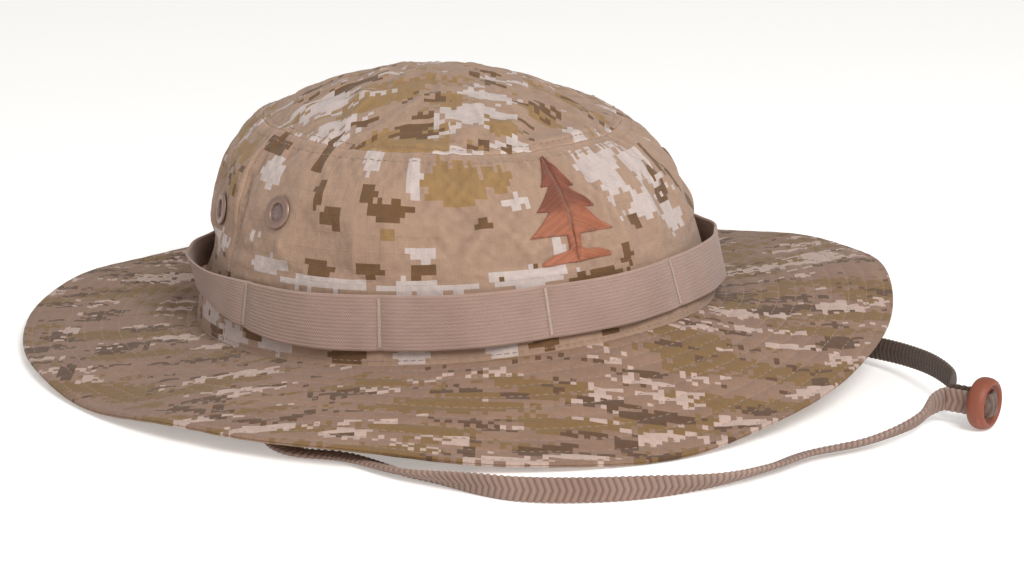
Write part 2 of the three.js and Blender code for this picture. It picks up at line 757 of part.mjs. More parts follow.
put("emblem_patch", emblemPatch(), cloth(0x8a4a2c));
put("chin_cord", chinCord(), cloth(0x9c8272));
put("cord_end_tab_right", cordEndTab(-1), cloth(0x9c8272));
put("cord_end_tab_left", cordEndTab(1), cloth(0x9c8272));
put(
  "cord_keeper",
  cordKeeper(),
  new THREE.MeshStandardMaterial({ color: 0xa9613f, roughness: 0.6, metalness: 0 }),
);

// The part's origin is on the table, under the middle of the whole hat with its cord.
const bounds = new THREE.Box3().setFromObject(hat);
const middle = bounds.getCenter(new THREE.Vector3());
hat.position.set(-middle.x, -middle.y, -bounds.min.z);

export default hat;
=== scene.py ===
"""Looks for a cloth boonie hat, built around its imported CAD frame.

Shapes are worked out in millimetres in the hat's own coordinates: the origin is the middle of the
head opening, +Z is up, the hat's front faces -Y and the wearer's left is +X. Azimuths are degrees
from +X, so the front is at 270. world() turns such points into metres in the shared frame.
"""

import json

import bmesh
import bpy
import numpy as np
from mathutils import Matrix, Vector

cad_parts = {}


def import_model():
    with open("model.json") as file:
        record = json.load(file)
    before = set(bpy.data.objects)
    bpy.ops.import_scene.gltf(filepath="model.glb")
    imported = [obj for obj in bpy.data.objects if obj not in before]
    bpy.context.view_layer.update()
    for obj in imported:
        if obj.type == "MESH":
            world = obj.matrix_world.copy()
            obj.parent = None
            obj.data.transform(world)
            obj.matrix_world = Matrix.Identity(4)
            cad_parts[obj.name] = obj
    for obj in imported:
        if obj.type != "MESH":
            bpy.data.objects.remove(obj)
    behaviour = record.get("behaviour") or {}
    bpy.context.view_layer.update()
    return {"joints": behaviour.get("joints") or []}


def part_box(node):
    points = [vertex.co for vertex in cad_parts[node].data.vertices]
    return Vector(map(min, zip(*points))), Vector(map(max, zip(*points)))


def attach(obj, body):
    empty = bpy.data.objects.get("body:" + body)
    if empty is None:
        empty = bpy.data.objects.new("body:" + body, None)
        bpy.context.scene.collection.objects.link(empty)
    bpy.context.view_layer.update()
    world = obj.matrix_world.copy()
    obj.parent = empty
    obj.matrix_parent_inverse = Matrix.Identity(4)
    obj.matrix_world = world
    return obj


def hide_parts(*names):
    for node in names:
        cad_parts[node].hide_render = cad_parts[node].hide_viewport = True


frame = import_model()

FRONT = 270.0
REAR = 90.0

# ------------------------------------------------------------------ the hat's dimensions
HEAD_HALF_WIDTH = 92.5
HEAD_HALF_LENGTH = 103.0
BRIM_WIDTH = 62.0
SEAM_HEIGHT = 70.0  # of the seam between the crown's side and top
TOP_HEIGHT = 87.5
TAPER = 0.0022  # share by which the side narrows for each millimetre of height
ROLL_HEIGHT = 89.0  # height at which the side would have rolled in to nothing
ROLL_POWER = 6.6
TOP_POWER = 1.83
LEAN = np.array([-0.058, 0.03, 0.0])  # sideways shift for each millimetre of height
REST_LEVEL = -11.9  # of the table
BRIM_HALF_THICKNESS = 1.5
LEVEL_RIM = 0.88  # share of the brim's width beyond which it no longer falls
CLOTH = 1.0
GAP = 0.3

ROW_FIRST = 3.0  # distance of the brim's first stitched row from the crown
ROW_SPACING = 6.2
ROW_COUNT = 10

VENTS = {
    "right_front": (FRONT - 72.5, 48.5),
    "right_rear": (FRONT - 99.5, 43.0),
    "left_front": (FRONT + 72.5, 48.5),
    "left_rear": (FRONT + 99.5 - 360, 43.0),
}

hinge = next(joint for joint in frame["joints"] if joint["name"] == "chin_cord_swing")
ANCHOR = np.array([83.5, 0.0, -1.5])
brim_low, brim_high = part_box("brim_top_ply")
ORIGIN = np.array([
    (brim_low.x + brim_high.x) / 2,
    (brim_low.y + brim_high.y) / 2,
    hinge["pos_m"][2] - ANCHOR[2] / 1000,
])


def world(points):
    """Points of the hat in millimetres as metres in the shared frame."""
    return ORIGIN + np.asarray(points, float) / 1000


# ------------------------------------------------------------------ curved surfaces
def wrap(angle, start):
    """The angle moved into the turn that starts at the given angle."""
    return (angle - start) % 360 + start


def bell(distance, width):
    """A smooth rise of height 1 where the distance is 0."""
    return np.exp(-((distance / width) ** 2))


def swell(azimuth, at, spread):
    """A smooth rise of height 1 at one direction."""
    return bell(wrap(azimuth - at, -180), spread)


def xyz(x, y, z):
    """Points from their three coordinates."""
    return np.stack(np.broadcast_arrays(x, y, z), -1)


def base_height(azimuth):
    """Height of the seam between crown and brim."""
    turn = np.radians(azimuth)
    return -7.7 * np.sin(turn) + 2.7 * np.cos(turn) - 1.5 * np.cos(2 * turn - np.radians(48))


def edge_height(azimuth):
    """Height of the brim's edge."""
    dips = -4.0 * swell(azimuth, 262, 24) - 2.6 * swell(azimuth, 183, 25) - 4.3 * swell(azimuth, 85, 25)
    return -6.8 + 19 * swell(azimuth, 337, 40) + 3.0 * swell(azimuth, 222, 20) + dips


def oval(azimuth, half_width, half_length, z):
    """Points on an oval round the head opening's middle."""
    turn = np.radians(azimuth)
    return xyz(half_width * np.cos(turn), half_length * np.sin(turn), z)


def roll_share(height):
    """How much of the crown's width is left where its side rolls in towards the top."""
    return 1 - (np.maximum(height, 0) / ROLL_HEIGHT) ** ROLL_POWER


def crown_dent(azimuth, up):
    """Share by which the crown is pushed in, mostly just above the band at the rear right."""
    begins = 1 - np.exp(-((up / 0.27) ** 4))
    fades = bell(up - 0.36, 0.36)
    return 0.042 * swell(azimuth, FRONT - 118, 26) * begins * fades


def crown_shape(azimuth, up):
    """Outer face of the crown without wrinkles: up is 0 to 1 on the side and 1 to 2 on the top."""
    height = SEAM_HEIGHT * np.minimum(up, 1)
    rim = 2 - np.maximum(up, 1)
    share = (1 - TAPER * height) * roll_share(height) * rim * (1 - crown_dent(azimuth, up))
    base = base_height(azimuth)
    side = base + (SEAM_HEIGHT - base) * np.minimum(up, 1)
    dome = (TOP_HEIGHT - SEAM_HEIGHT) * (1 - rim ** TOP_POWER)
    z = side + dome
    return oval(azimuth, HEAD_HALF_WIDTH * share, HEAD_HALF_LENGTH * share, z) + z[..., None] * LEAN


def unit(vectors):
    """The vectors at length 1."""
    return vectors / np.maximum(np.linalg.norm(vectors, axis=-1, keepdims=True), 1e-9)


def crown_normal(azimuth, up):
    """The direction straight out of the crown's cloth."""
    around = crown_shape(azimuth + 1, up) - crown_shape(azimuth - 1, up)
    above = crown_shape(azimuth, np.minimum(up + 0.01, 1.999))
    along = above - crown_shape(azimuth, up - 0.01)
    normal = unit(np.cross(around, along))
    return np.where((up > 1.97)[..., None], [0.0, 0.0, 1.0], normal)


def grid(first, last, columns, low, high, rows):
    """Two arrays of azimuth and of the second coordinate, columns by rows."""
    return np.meshgrid(np.linspace(first, last, columns), np.linspace(low, high, rows), indexing="ij")


def ring_grid(step, rows):
    """The same for a whole turn, with a column at every step of azimuth."""
    return np.meshgrid(np.arange(0, 360, step), rows, indexing="ij")


# ------------------------------------------------------------------ meshes
def build(name, points, quads, pattern=None):
    """A smooth mesh object from points in hat millimetres and four-cornered faces."""
    mesh = bpy.data.meshes.new(name)
    mesh.vertices.add(len(points))
    mesh.vertices.foreach_set("co", world(points).astype(np.float32).ravel())
    mesh.loops.add(quads.size)
    mesh.loops.foreach_set("vertex_index", quads.astype(np.int32).ravel())
    mesh.polygons.add(len(quads))
    mesh.polygons.foreach_set("loop_start", np.arange(len(quads), dtype=np.int32) * 4)
    mesh.polygons.foreach_set("use_smooth", np.ones(len(quads), bool))
    mesh.update(calc_edges=True)
    mesh.validate()
    if pattern is not None:
        attribute = mesh.attributes.new("pattern", "FLOAT_VECTOR", "POINT")
        attribute.data.foreach_set("vector", pattern.astype(np.float32).ravel())
    made = bpy.data.objects.new(name, mesh)
    bpy.context.scene.collection.objects.link(made)
    return made


def grid_quads(columns, rows, closed=False, closed_rows=False):
    """Faces over a grid of points, which may close on itself in either direction."""
    index = np.arange(columns * rows).reshape(columns, rows)
    if closed:
        index = np.concatenate([index, index[:1]])
    if closed_rows:
        index = np.concatenate([index, index[:, :1]], axis=1)
    corners = [index[:-1, :-1], index[1:, :-1], index[1:, 1:], index[:-1, 1:]]
    return np.stack(corners, -1)


def shell(name, outer, inner, pattern, closed=False, hole=None):
    """A closed layer of cloth between an outer and an inner grid of points.

    Faces whose middle lies in the hole, where one is given, are left out.
    """
    columns, rows = outer.shape[:2]
    count = columns * rows
    faces = grid_quads(columns, rows, closed)
    edges = [faces[:, 0, [1, 0]], faces[:, -1, [3, 2]]]
    if not closed:
        edges += [faces[0][:, [0, 3]], faces[-1][:, [2, 1]]]
    rims = [np.concatenate([edge, edge[:, ::-1] + count], axis=1) for edge in edges]
    faces = faces.reshape(-1, 4)
    if hole is not None:
        middles = outer.reshape(-1, 3)[faces].mean(1)
        faces = faces[~hole(middles)]
    quads = np.concatenate([faces, faces[:, ::-1] + count, *rims])
    points = np.concatenate([outer.reshape(-1, 3), inner.reshape(-1, 3)])
    both = np.concatenate([pattern.reshape(-1, 3)] * 2)
    return build(name, points, quads, both)


def tubes(name, paths, lifts, radius, sides=6, pattern=None):
    """Round threads with tapered ends along paths [thread, point, xyz]; lifts point off the cloth."""
    threads, length = paths.shape[:2]
    along = unit(np.gradient(paths, axis=1))
    across = unit(np.cross(lifts, along))
    upward = np.cross(along, across)
    swelling = np.ones(length)
    swelling[[0, -1]] = 0.15
    turn = np.linspace(0, 2 * np.pi, sides, endpoint=False)
    reach = np.broadcast_to(radius, threads)[:, None] * swelling
    ring = across[:, :, None] * np.cos(turn)[:, None] + upward[:, :, None] * np.sin(turn)[:, None]
    points = paths[:, :, None] + ring * reach[:, :, None, None]
    faces = grid_quads(length, sides, closed_rows=True)[..., ::-1].reshape(-1, 4)
    quads = (faces[None] + (np.arange(threads) * length * sides)[:, None, None]).reshape(-1, 4)
    if pattern is None:
        number = np.arange(threads)[:, None, None]
        step = np.arange(length)[:, None]
        pattern = xyz(number, step, np.zeros((threads, length, sides)))
    return build(name, points.reshape(-1, 3), quads, pattern.reshape(-1, 3))


STITCH_SHARE = 0.8  # of a row's length that shows as thread


def stitches(path, normals, pitch, rise=0.22):
    """Thread arcs along a path, and their lifts."""
    steps = np.linalg.norm(np.diff(path, axis=0), axis=1)
    reached = np.concatenate([[0], np.cumsum(steps)])
    count = max(int(reached[-1] / pitch), 1)
    spacing = reached[-1] / count
    part = np.linspace(0, 1, 5)
    places = (np.arange(count)[:, None] + part * STITCH_SHARE) * spacing
    points = np.stack([np.interp(places, reached, path[:, k]) for k in range(3)], -1)
    lifts = unit(np.stack([np.interp(places, reached, normals[:, k]) for k in range(3)], -1))
    arch = (np.sin(np.pi * part) - 0.45) * rise
    return points + lifts * arch[:, None], lifts


def stitched(name, rows, radius=0.24, **settings):
    """One thread object for several rows, each a path with its normals."""
    made = [stitches(path, normals, **settings) for path, normals in rows]
    paths = np.concatenate([points for points, _ in made])
    lifts = np.concatenate([up for _, up in made])
    return tubes(name, paths, lifts, radius)


def lathe(name, outline, segments, place):
    """Turns a closed outline of [radius, height] pairs, softened at its corners."""
    profile = np.array(outline, float)
    for _ in range(2):
        after = np.roll(profile, -1, axis=0)
        cuts = [profile * 0.8 + after * 0.2, profile * 0.2 + after * 0.8]
        profile = np.stack(cuts, 1).reshape(-1, 2)
    turn = np.linspace(0, 2 * np.pi, segments, endpoint=False)
    radius = profile[None, :, 0]
    spun = xyz(radius * np.cos(turn)[:, None], radius * np.sin(turn)[:, None], profile[:, 1])
    quads = grid_quads(segments, len(profile), True, True).reshape(-1, 4)
    points = place(spun.reshape(-1, 3))
    return build(name, points, quads, spun.reshape(-1, 3))


def finish_piece(piece, material, body="hat", stands_for=()):
    """Gives a piece its material and its body, and hides the CAD nodes that it replaces."""
    piece.data.materials.append(material)
    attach(piece, body)
    if stands_for:
        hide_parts(*stands_for)
    return piece


# ------------------------------------------------------------------ materials
def rgb(code):
    """A linear colour from a six-digit sRGB code."""
    values = np.array([int(code[k:k + 2], 16) for k in (0, 2, 4)]) / 255
    linear = np.where(values <= 0.04045, values / 12.92, ((values + 0.055) / 1.055) ** 2.4)
    return (*linear, 1.0)


class Graph:
    """A material's node tree, with short calls for the nodes used here."""

    def __init__(self, name, roughness=0.9):
        self.material = bpy.data.materials.new(name)
        self.material.use_nodes = True
        self.tree = self.material.node_tree
        self.surface = next(n for n in self.tree.nodes if n.type == "BSDF_PRINCIPLED")
        self.surface.inputs["Roughness"].default_value = roughness
        attribute = self.node("Attribute", {}, attribute_name="pattern")
        self.place = attribute.outputs["Vector"]

    def node(self, kind, inputs, **settings):
        made = self.tree.nodes.new("ShaderNode" + kind)
        for key, value in settings.items():
            setattr(made, key, value)
        for socket, value in inputs.items():
            self.join(value, made.inputs[socket])
        return made

    def join(self, value, socket):
        if isinstance(value, bpy.types.NodeSocket):
            self.tree.links.new(value, socket)
        else:
            socket.default_value = value

    def math(self, operation, first, second=0.0):
        return self.node("Math", {0: first, 1: second}, operation=operation).outputs[0]

    def times(self, first, second):
        return self.math("MULTIPLY", first, second)

    def plus(self, first, second):
        return self.math("ADD", first, second)

    def minus(self, first, second):
        return self.math("SUBTRACT", first, second)

    def vector(self, operation, first, second=(0, 0, 0), third=(0, 0, 0)):
        inputs = {0: first, 1: second, 2: third}
        made = self.node("VectorMath", inputs, operation=operation)
        return made.outputs["Value" if operation == "LENGTH" else "Vector"]

    def noise(self, place, scale=1.0, detail=2.0):
        inputs = {"Vector": place, "Scale": scale, "Detail": detail}
        return self.node("TexNoise", inputs).outputs["Fac"]

    def stains(self, scale, detail=2.0):
        """Broad blotches from 0 to 1."""
        return self.range(self.noise(self.place, scale, detail), 0.35, 0.65)

    def parts(self, place):
        """The x, y and z of a place."""
        return self.node("SeparateXYZ", {0: place}).outputs

    def own(self, number):
        """A random value for a thread's number."""
        return self.node("TexWhiteNoise", {"W": number}, noise_dimensions="1D").outputs["Value"]

    def strands(self, scale):
        """Noise drawn out along a thread's fibres."""
        where = self.node("TexCoord", {}).outputs["Object"]
        return self.noise(self.vector("MULTIPLY", where, scale))

    def ridges(self, low, high):
        """From 0 in creases to 1 on ridges."""
        return self.range(self.node("NewGeometry", {}).outputs["Pointiness"], low, high)

    def mix(self, share, first, second):
        return self.node("Mix", {0: share, 6: first, 7: second}, data_type="RGBA").outputs[2]

    def range(self, value, low, high, out_low=0.0, out_high=1.0):
        inputs = {"Value": value, 1: low, 2: high, 3: out_low, 4: out_high}
        return self.node("MapRange", inputs).outputs[0]

    def shade(self, color, value, low, high):
        """Multiplies a colour by a number from low to high that follows a value from 0 to 1."""
        made = self.node("VectorMath", {0: color}, operation="SCALE")
        self.join(self.range(value, 0.0, 1.0, low, high), made.inputs["Scale"])
        return made.outputs["Vector"]

    def waves(self, pitch_x, pitch_y):
        """Crossing sine waves with the given pitches in millimetres, from -1 to 1."""
        parts = self.parts(self.place)
        x = self.math("SINE", self.times(parts[0], 2 * np.pi / pitch_x))
        y = self.math("SINE", self.times(parts[1], 2 * np.pi / pitch_y))
        return x, y

    def bump(self, height, distance, normal=None):
        """Bump whose height of 1 is the given number of millimetres."""
        inputs = {"Height": height, "Distance": distance / 1000, "Strength": 1.0}
        made = self.node("Bump", inputs)
        if normal is not None:
            self.join(normal, made.inputs["Normal"])
        return made.outputs["Normal"]

    def done(self, color, normal=None, roughness=None, sheen=0.0, metallic=0.0):
        self.join(color, self.surface.inputs["Base Color"])
        if normal is not None:
            self.join(normal, self.surface.inputs["Normal"])
        if roughness is not None:
            self.join(roughness, self.surface.inputs["Roughness"])
        self.surface.inputs["Sheen Weight"].default_value = sheen
        self.surface.inputs["Metallic"].default_value = metallic
        return self.material


CELL = 1.9  # side of one printed square of the camouflage
NEVER = 2.0  # a level that no noise reaches


def nearest_patch(graph, cell, patches):
    """Distance of a cell from the nearest patch, where 1 is the patch's outline."""
    least = None
    for x, y, half_width, half_height in patches:
        scale = (1 / half_width, 1 / half_height, 0)
        shift = (-x / half_width, -y / half_height, 0)
        moved = graph.vector("MULTIPLY_ADD", cell, scale, shift)
        distance = graph.vector("LENGTH", moved)
        least = distance if least is None else graph.math("MINIMUM", least, distance)
    return least


def crease_shade_and_ridge_wear(graph, color, low=0.8, high=1.18):
    """Darkens creases with painted shade and lightens rubbed ridges, where the cloth wears pale."""
    return graph.shade(color, graph.ridges(0.44, 0.56), low, high)


def cloth_bump(graph, pitch):
    """Plain weave with a thicker ripstop thread every few millimetres, over soft crumples."""
    x, y = graph.waves(pitch, pitch)
    weave = graph.times(x, y)
    ripstop_x, ripstop_y = graph.waves(5.5, 5.5)
    strongest = graph.math("MAXIMUM", ripstop_x, ripstop_y)
    ripstop = graph.range(strongest, 0.93, 1.0)
    height = graph.plus(weave, graph.times(ripstop, 1.2))
    crumple = graph.noise(graph.place, 0.22, 3.0)
    soft = graph.bump(crumple, 0.9)
    return graph.bump(height, 0.06, soft)


def camouflage(name, colors, levels, placed, clear=None, stretch=2.0, seed=0.0):
    """Printed cloth of small squares in five colours.

    levels gives what the noise has to pass for light, ochre and dark, so a higher one means less
    of it. placed gives patches of each colour by [x, y, half width, half height]. clear is an
    interval of x kept almost free of other patches.
    """
    graph = Graph(name)
    cell = graph.vector("SNAP", graph.place, (CELL, CELL, 1))
    speck = graph.node("TexWhiteNoise", {"Vector": cell}).outputs["Value"]
    jitter = graph.times(graph.minus(speck, 0.5), 0.15)
    broad = graph.noise(graph.vector("MULTIPLY", graph.place, (0.03, 0.05, 1)), 1.0, 2.0)
    color = graph.mix(graph.range(broad, 0.35, 0.65), rgb(colors["base"]), rgb(colors["second"]))
    quiet = 0.0
    if clear:
        x = graph.parts(cell)[0]
        middle = (clear[0] + clear[1]) / 2
        reach = (clear[1] - clear[0]) / 2
        offset = graph.math("ABSOLUTE", graph.minus(x, middle))
        quiet = graph.range(offset, reach, reach + 12, 0.16, 0.0)
    sizes = {"light": 9.0, "base": 7.0, "ochre": 11.0, "dark": 6.5}
    for number, tone in enumerate(sizes):
        scale = (1 / (sizes[tone] * stretch), 1 / sizes[tone], 0)
        shift = (0, 0, seed + 7.3 * number)
        place = graph.vector("MULTIPLY_ADD", cell, scale, shift)
        value = graph.plus(graph.noise(place, 1.0, 1.5), jitter)
        value = graph.minus(value, quiet)
        inside = graph.math("GREATER_THAN", value, levels.get(tone, NEVER))
        if tone in placed:
            ragged = graph.noise(graph.vector("MULTIPLY", cell, (0.22, 0.3, 1)), 1.0, 2.0)
            wobble = graph.times(graph.minus(ragged, 0.5), 1.5)
            distance = graph.plus(nearest_patch(graph, cell, placed[tone]), wobble)
            near = graph.math("LESS_THAN", graph.plus(distance, jitter), 1.0)
            inside = graph.math("MAXIMUM", inside, near)
        color = graph.mix(inside, color, rgb(colors[tone]))
    color = graph.shade(color, speck, 0.95, 1.05)
    fibres = graph.noise(graph.place, 1.6, 3.0)
    color = graph.shade(color, fibres, 0.84, 1.16)
    # painted shade in the creases, with wear lightening the ridges
    color = crease_shade_and_ridge_wear(graph, color)
    roughness = graph.range(graph.noise(graph.place, 0.6), 0.3, 0.7, 0.82, 0.98)
    return graph.done(color, cloth_bump(graph, 0.7), roughness, sheen=0.12)


def plain_cloth(name, color, second, pitch, relief, roughness=0.92):
    """Woven cloth of one colour with fibres and faint stains."""
    graph = Graph(name, roughness)
    x, y = graph.waves(pitch, pitch)
    weave = graph.times(x, y)
    mixed = graph.mix(graph.stains(0.08, 3.0), rgb(color), rgb(second))
    mixed = graph.shade(mixed, graph.noise(graph.place, 1.8, 3.0), 0.82, 1.18)
    mixed = graph.shade(mixed, graph.range(weave, -1.0, 1.0), 0.94, 1.05)
    # painted shade in the creases, with wear lightening the ridges
    mixed = crease_shade_and_ridge_wear(graph, mixed)
    soft = graph.bump(graph.noise(graph.place, 0.4, 3.0), 0.5)
    return graph.done(mixed, graph.bump(weave, relief, soft), sheen=0.15)


def webbing_cloth(name, color, second):
    """Webbing: the ribs are modelled, and the weave crosses them as small slanted floats."""
    graph = Graph(name, 0.88)
    x, y = graph.waves(0.9, 1.25)
    floats = graph.times(x, y)
    mixed = graph.mix(graph.stains(0.05), rgb(color), rgb(second))
    streaks = graph.noise(graph.vector("MULTIPLY", graph.place, (0.15, 2.2, 1)), 1.0, 2.0)
    mixed = graph.shade(mixed, streaks, 0.84, 1.14)
    mixed = graph.shade(mixed, graph.range(floats, -1.0, 1.0), 0.93, 1.06)
    # painted shade in the creases, with wear lightening the ridges
    mixed = crease_shade_and_ridge_wear(graph, mixed, 0.78, 1.2)
    fuzz = graph.bump(graph.noise(graph.place, 2.5, 2.0), 0.08)
    return graph.done(mixed, graph.bump(floats, 0.08, fuzz), sheen=0.2)


def thread_material(name, color, second):
    """Twisted thread. The pattern holds the thread's number and the step along it."""
    graph = Graph(name, 0.7)
    mixed = graph.mix(graph.own(graph.parts(graph.place)[0]), rgb(color), rgb(second))
    strands = graph.strands((900, 900, 2200))
    mixed = graph.shade(mixed, strands, 0.8, 1.2)
    return graph.done(mixed, graph.bump(strands, 0.06), sheen=0.25)


def metal_paint(name, color, bare):
    """Painted metal, rubbed through along its rim, with fine scratches."""
    graph = Graph(name, 0.4)
    rubbed = graph.ridges(0.52, 0.6)
    spots = graph.noise(graph.place, 1.3, 4.0)
    worn_away = graph.times(rubbed, graph.range(spots, 0.45, 0.6))
    mixed = graph.shade(graph.mix(worn_away, rgb(color), rgb(bare)), spots, 0.8, 1.2)
    scratches = graph.noise(graph.vector("MULTIPLY", graph.place, (0.5, 6.0, 0.5)), 1.0, 3.0)
    roughness = graph.range(scratches, 0.3, 0.7, 0.3, 0.55)
    return graph.done(mixed, graph.bump(scratches, 0.03), roughness, metallic=0.55)


def leather(name, face, edge):
    """Rust-coloured leather with pores and creases, darker from its dished face towards its back."""
    graph = Graph(name, 0.5)
    cells = graph.node("TexVoronoi", {"Vector": graph.place, "Scale": 1.6}, feature="DISTANCE_TO_EDGE")
    creases = graph.range(cells.outputs["Distance"], 0.0, 0.12)
    mottle = graph.noise(graph.place, 0.35, 4.0)
    height = graph.parts(graph.place)[2]
    back_to_face = graph.range(graph.plus(height, graph.times(mottle, 2.0)), 0.2, 2.6)
    mixed = graph.mix(back_to_face, rgb(edge), rgb(face))
    mixed = graph.shade(mixed, mottle, 0.7, 1.3)
    mixed = graph.shade(mixed, creases, 0.82, 1.04)
    # painted shade in the creases, with wear lightening the ridges
    mixed = crease_shade_and_ridge_wear(graph, mixed, 0.7, 1.3)
    grain = graph.bump(creases, 0.09)
    roughness = graph.range(mottle, 0.3, 0.7, 0.42, 0.68)
    return graph.done(mixed, graph.bump(graph.noise(graph.place, 5.0), 0.05, grain), roughness)


# ------------------------------------------------------------------ the crown as settled cloth
SETTLE_COLUMNS = 200
SETTLE_ROWS = 56
SETTLE_TOP = 1.94
LARGEST_MOVE = 2.6
FABRIC = {
    "quality": 6, "mass": 0.2, "tension_stiffness": 25, "compression_stiffness": 25,
    "shear_stiffness": 10, "bending_stiffness": 0.2, "vertex_group_mass": "held",
    "pin_stiffness": 1.6, "vertex_group_shrink": "tight", "shrink_min": -0.026, "shrink_max": 0.004,
}


def settle_crown():
    """Simulates the crown as slightly oversized cloth and returns each grid point's move in mm."""
    azimuth, up = np.meshgrid(
        np.arange(SETTLE_COLUMNS) * 360 / SETTLE_COLUMNS,
        np.linspace(0.0, SETTLE_TOP, SETTLE_ROWS),
        indexing="ij",
    )
    rest = crown_shape(azimuth, up)
    quads = grid_quads(SETTLE_COLUMNS, SETTLE_ROWS, True).reshape(-1, 4)
    sheet = build("crown_settling", rest.reshape(-1, 3), quads)
    sheet.scale = (10, 10, 10)
    bpy.context.view_layer.update()
    bpy.context.view_layer.objects.active = sheet
    sheet.select_set(True)
    bpy.ops.object.transform_apply(location=False, rotation=False, scale=True)
    start = np.zeros(rest.size, np.float32)
    sheet.data.vertices.foreach_get("co", start)
    held = sheet.vertex_groups.new(name="held")
    tight = sheet.vertex_groups.new(name="tight")
    for row in range(SETTLE_ROWS):
        level = up[0, row]
        members = [column * SETTLE_ROWS + row for column in range(SETTLE_COLUMNS)]
        firm = 1.0 if level < 0.42 or level > 1.9 else 0.12
        held.add(members, firm, "REPLACE")
        if abs(level - 1) < 0.03:
            tight.add(members, 1.0, "REPLACE")
    cloth = sheet.modifiers.new("Cloth", "CLOTH")
    for setting, value in FABRIC.items():
        setattr(cloth.settings, setting, value)
    cloth.settings.effector_weights.gravity = 0.05
    scene = bpy.context.scene
    for step in range(1, 31):
        scene.frame_set(step)
    graph = bpy.context.evaluated_depsgraph_get()
    settled = sheet.evaluated_get(graph)
    end = np.zeros(rest.size, np.float32)
    settled.data.vertices.foreach_get("co", end)
    moved = (end - start).astype(float).reshape(rest.shape) * 1000 / 10
    scene.frame_set(1)
    bpy.data.objects.remove(sheet)
    normal = crown_normal(azimuth, up)
    outward = (moved * normal).sum(-1, keepdims=True)
    moved = moved - normal * outward.mean(0, keepdims=True)
    size = np.linalg.norm(moved, axis=-1, keepdims=True)
    return moved * np.minimum(1, LARGEST_MOVE / np.maximum(size, 1e-6))


SETTLED = settle_crown()


def catmull_rom(part):
    """Weights of four neighbouring samples at a position between the middle two."""
    square = part * part
    cube = square * part
    return (
        (-cube + 2 * square - part) / 2,
        (3 * cube - 5 * square + 2) / 2,
        (-3 * cube + 4 * square + part) / 2,
        (cube - square) / 2,
    )


def settled_move(azimuth, up):
    """How far the settled cloth moved, smoothly between the simulated points."""
    x = (azimuth % 360) / 360 * SETTLE_COLUMNS
    y = np.clip(up / SETTLE_TOP, 0, 1) * (SETTLE_ROWS - 1)
    column = np.floor(x).astype(int)
    row = np.minimum(np.floor(y).astype(int), SETTLE_ROWS - 2)
    total = 0
    for i, weight_x in enumerate(catmull_rom(x - column)):
        for j, weight_y in enumerate(catmull_rom(y - row)):
            near = (column + i - 1) % SETTLE_COLUMNS
            level = np.clip(row + j - 1, 0, SETTLE_ROWS - 1)
            total = total + (weight_x * weight_y)[..., None] * SETTLED[near, level]
    return total


# Soft folds in the crown: from and to (angle from the front, up), height and half width in mm.
FOLDS = [
    ((-112, 0.98), (-70, 1.52), 1.3, 5.0),
    ((-98, 0.93), (-52, 1.34), 1.0, 4.0),
    ((-76, 1.0), (-38, 1.22), 0.8, 3.5),
    ((-100, 0.68), (-84, 0.98), 0.9, 5.0),
    ((-30, 1.05), (18, 1.3), 0.7, 5.0),
    ((12, 1.0), (40, 1.2), 0.9, 4.5),
    ((34, 0.86), (52, 1.12), 1.1, 4.5),
    ((46, 0.62), (62, 0.96), 1.1, 5.0),
    ((70, 0.7), (96, 1.2), 1.0, 5.0),
    ((120, 0.6), (150, 1.25), 1.0, 6.0),
    ((165, 0.8), (200, 1.35), 1.0, 6.0),
    ((215, 0.6), (240, 1.2), 1.0, 6.0),
    ((-20, 0.5), (10, 0.62), 0.4, 5.0),
    ((-62, 0.6), (-30, 0.9), 0.4, 6.0),
]
MM_PER_DEGREE = 1.45  # along the crown's side, on average
MEAN_RADIUS = 98.0  # of the crown at its base


def fold_height(azimuth, up):
    """Height of the soft folds off the cloth in millimetres."""
    total = 0 * azimuth
    for (angle_a, up_a), (angle_b, up_b), height, width in FOLDS:
        start = np.array([angle_a * MM_PER_DEGREE, up_a * SEAM_HEIGHT])
        run = np.array([angle_b * MM_PER_DEGREE, up_b * SEAM_HEIGHT]) - start
        x = wrap(azimuth - FRONT - angle_a, -180) * MM_PER_DEGREE
        y = up * SEAM_HEIGHT - start[1]
        share = np.clip((x * run[0] + y * run[1]) / (run @ run), 0, 1)
        away = np.hypot(x - share * run[0], y - share * run[1])
        total = total + height * np.sin(np.pi * share) ** 0.7 * bell(away, width)
    return total


def crown_detail(azimuth, up):
    """Seam grooves, puckers and fine crumples, as a height off the cloth in millimetres."""
    from_seam = (up - 1) * SEAM_HEIGHT
    groove = -0.07 * bell(from_seam, 1) + 0.03 * bell(abs(from_seam) - 2, 1.5)
    drift = 2.2 * np.sin(np.radians(3 * azimuth)) + 1.4 * np.sin(np.radians(7 * azimuth + 40))
    pucker = np.sin(np.radians(58 * azimuth) + drift) * (0.6 + 0.4 * np.sin(np.radians(11 * azimuth)))
    pucker = 0.3 * pucker * bell(from_seam, 6.5)
    side = np.minimum(abs(wrap(azimuth, -180)), abs(wrap(azimuth - 180, -180))) * 1.55
    fade = np.clip((1.02 - up) * 30, 0, 1)
    seam = -0.5 * bell(side, 0.7) + 0.25 * bell(side - 1.8, 1.2)
    turn = np.radians(azimuth)
    crumple = np.sin(17 * turn + 9 * up + 2 * np.sin(5 * turn))
    crumple = crumple * np.sin(6.1 * up + 3 * np.sin(4 * turn + 1))
    crumple = crumple + 0.6 * np.sin(31 * turn - 14 * up) * np.sin(15 * up + 2 * turn)
    fade_low = np.clip((up - 0.38) * 6, 0, 1) * np.clip((2 - up) * 3, 0, 1)
    return groove + pucker + seam * fade + 0.16 * crumple * fade_low


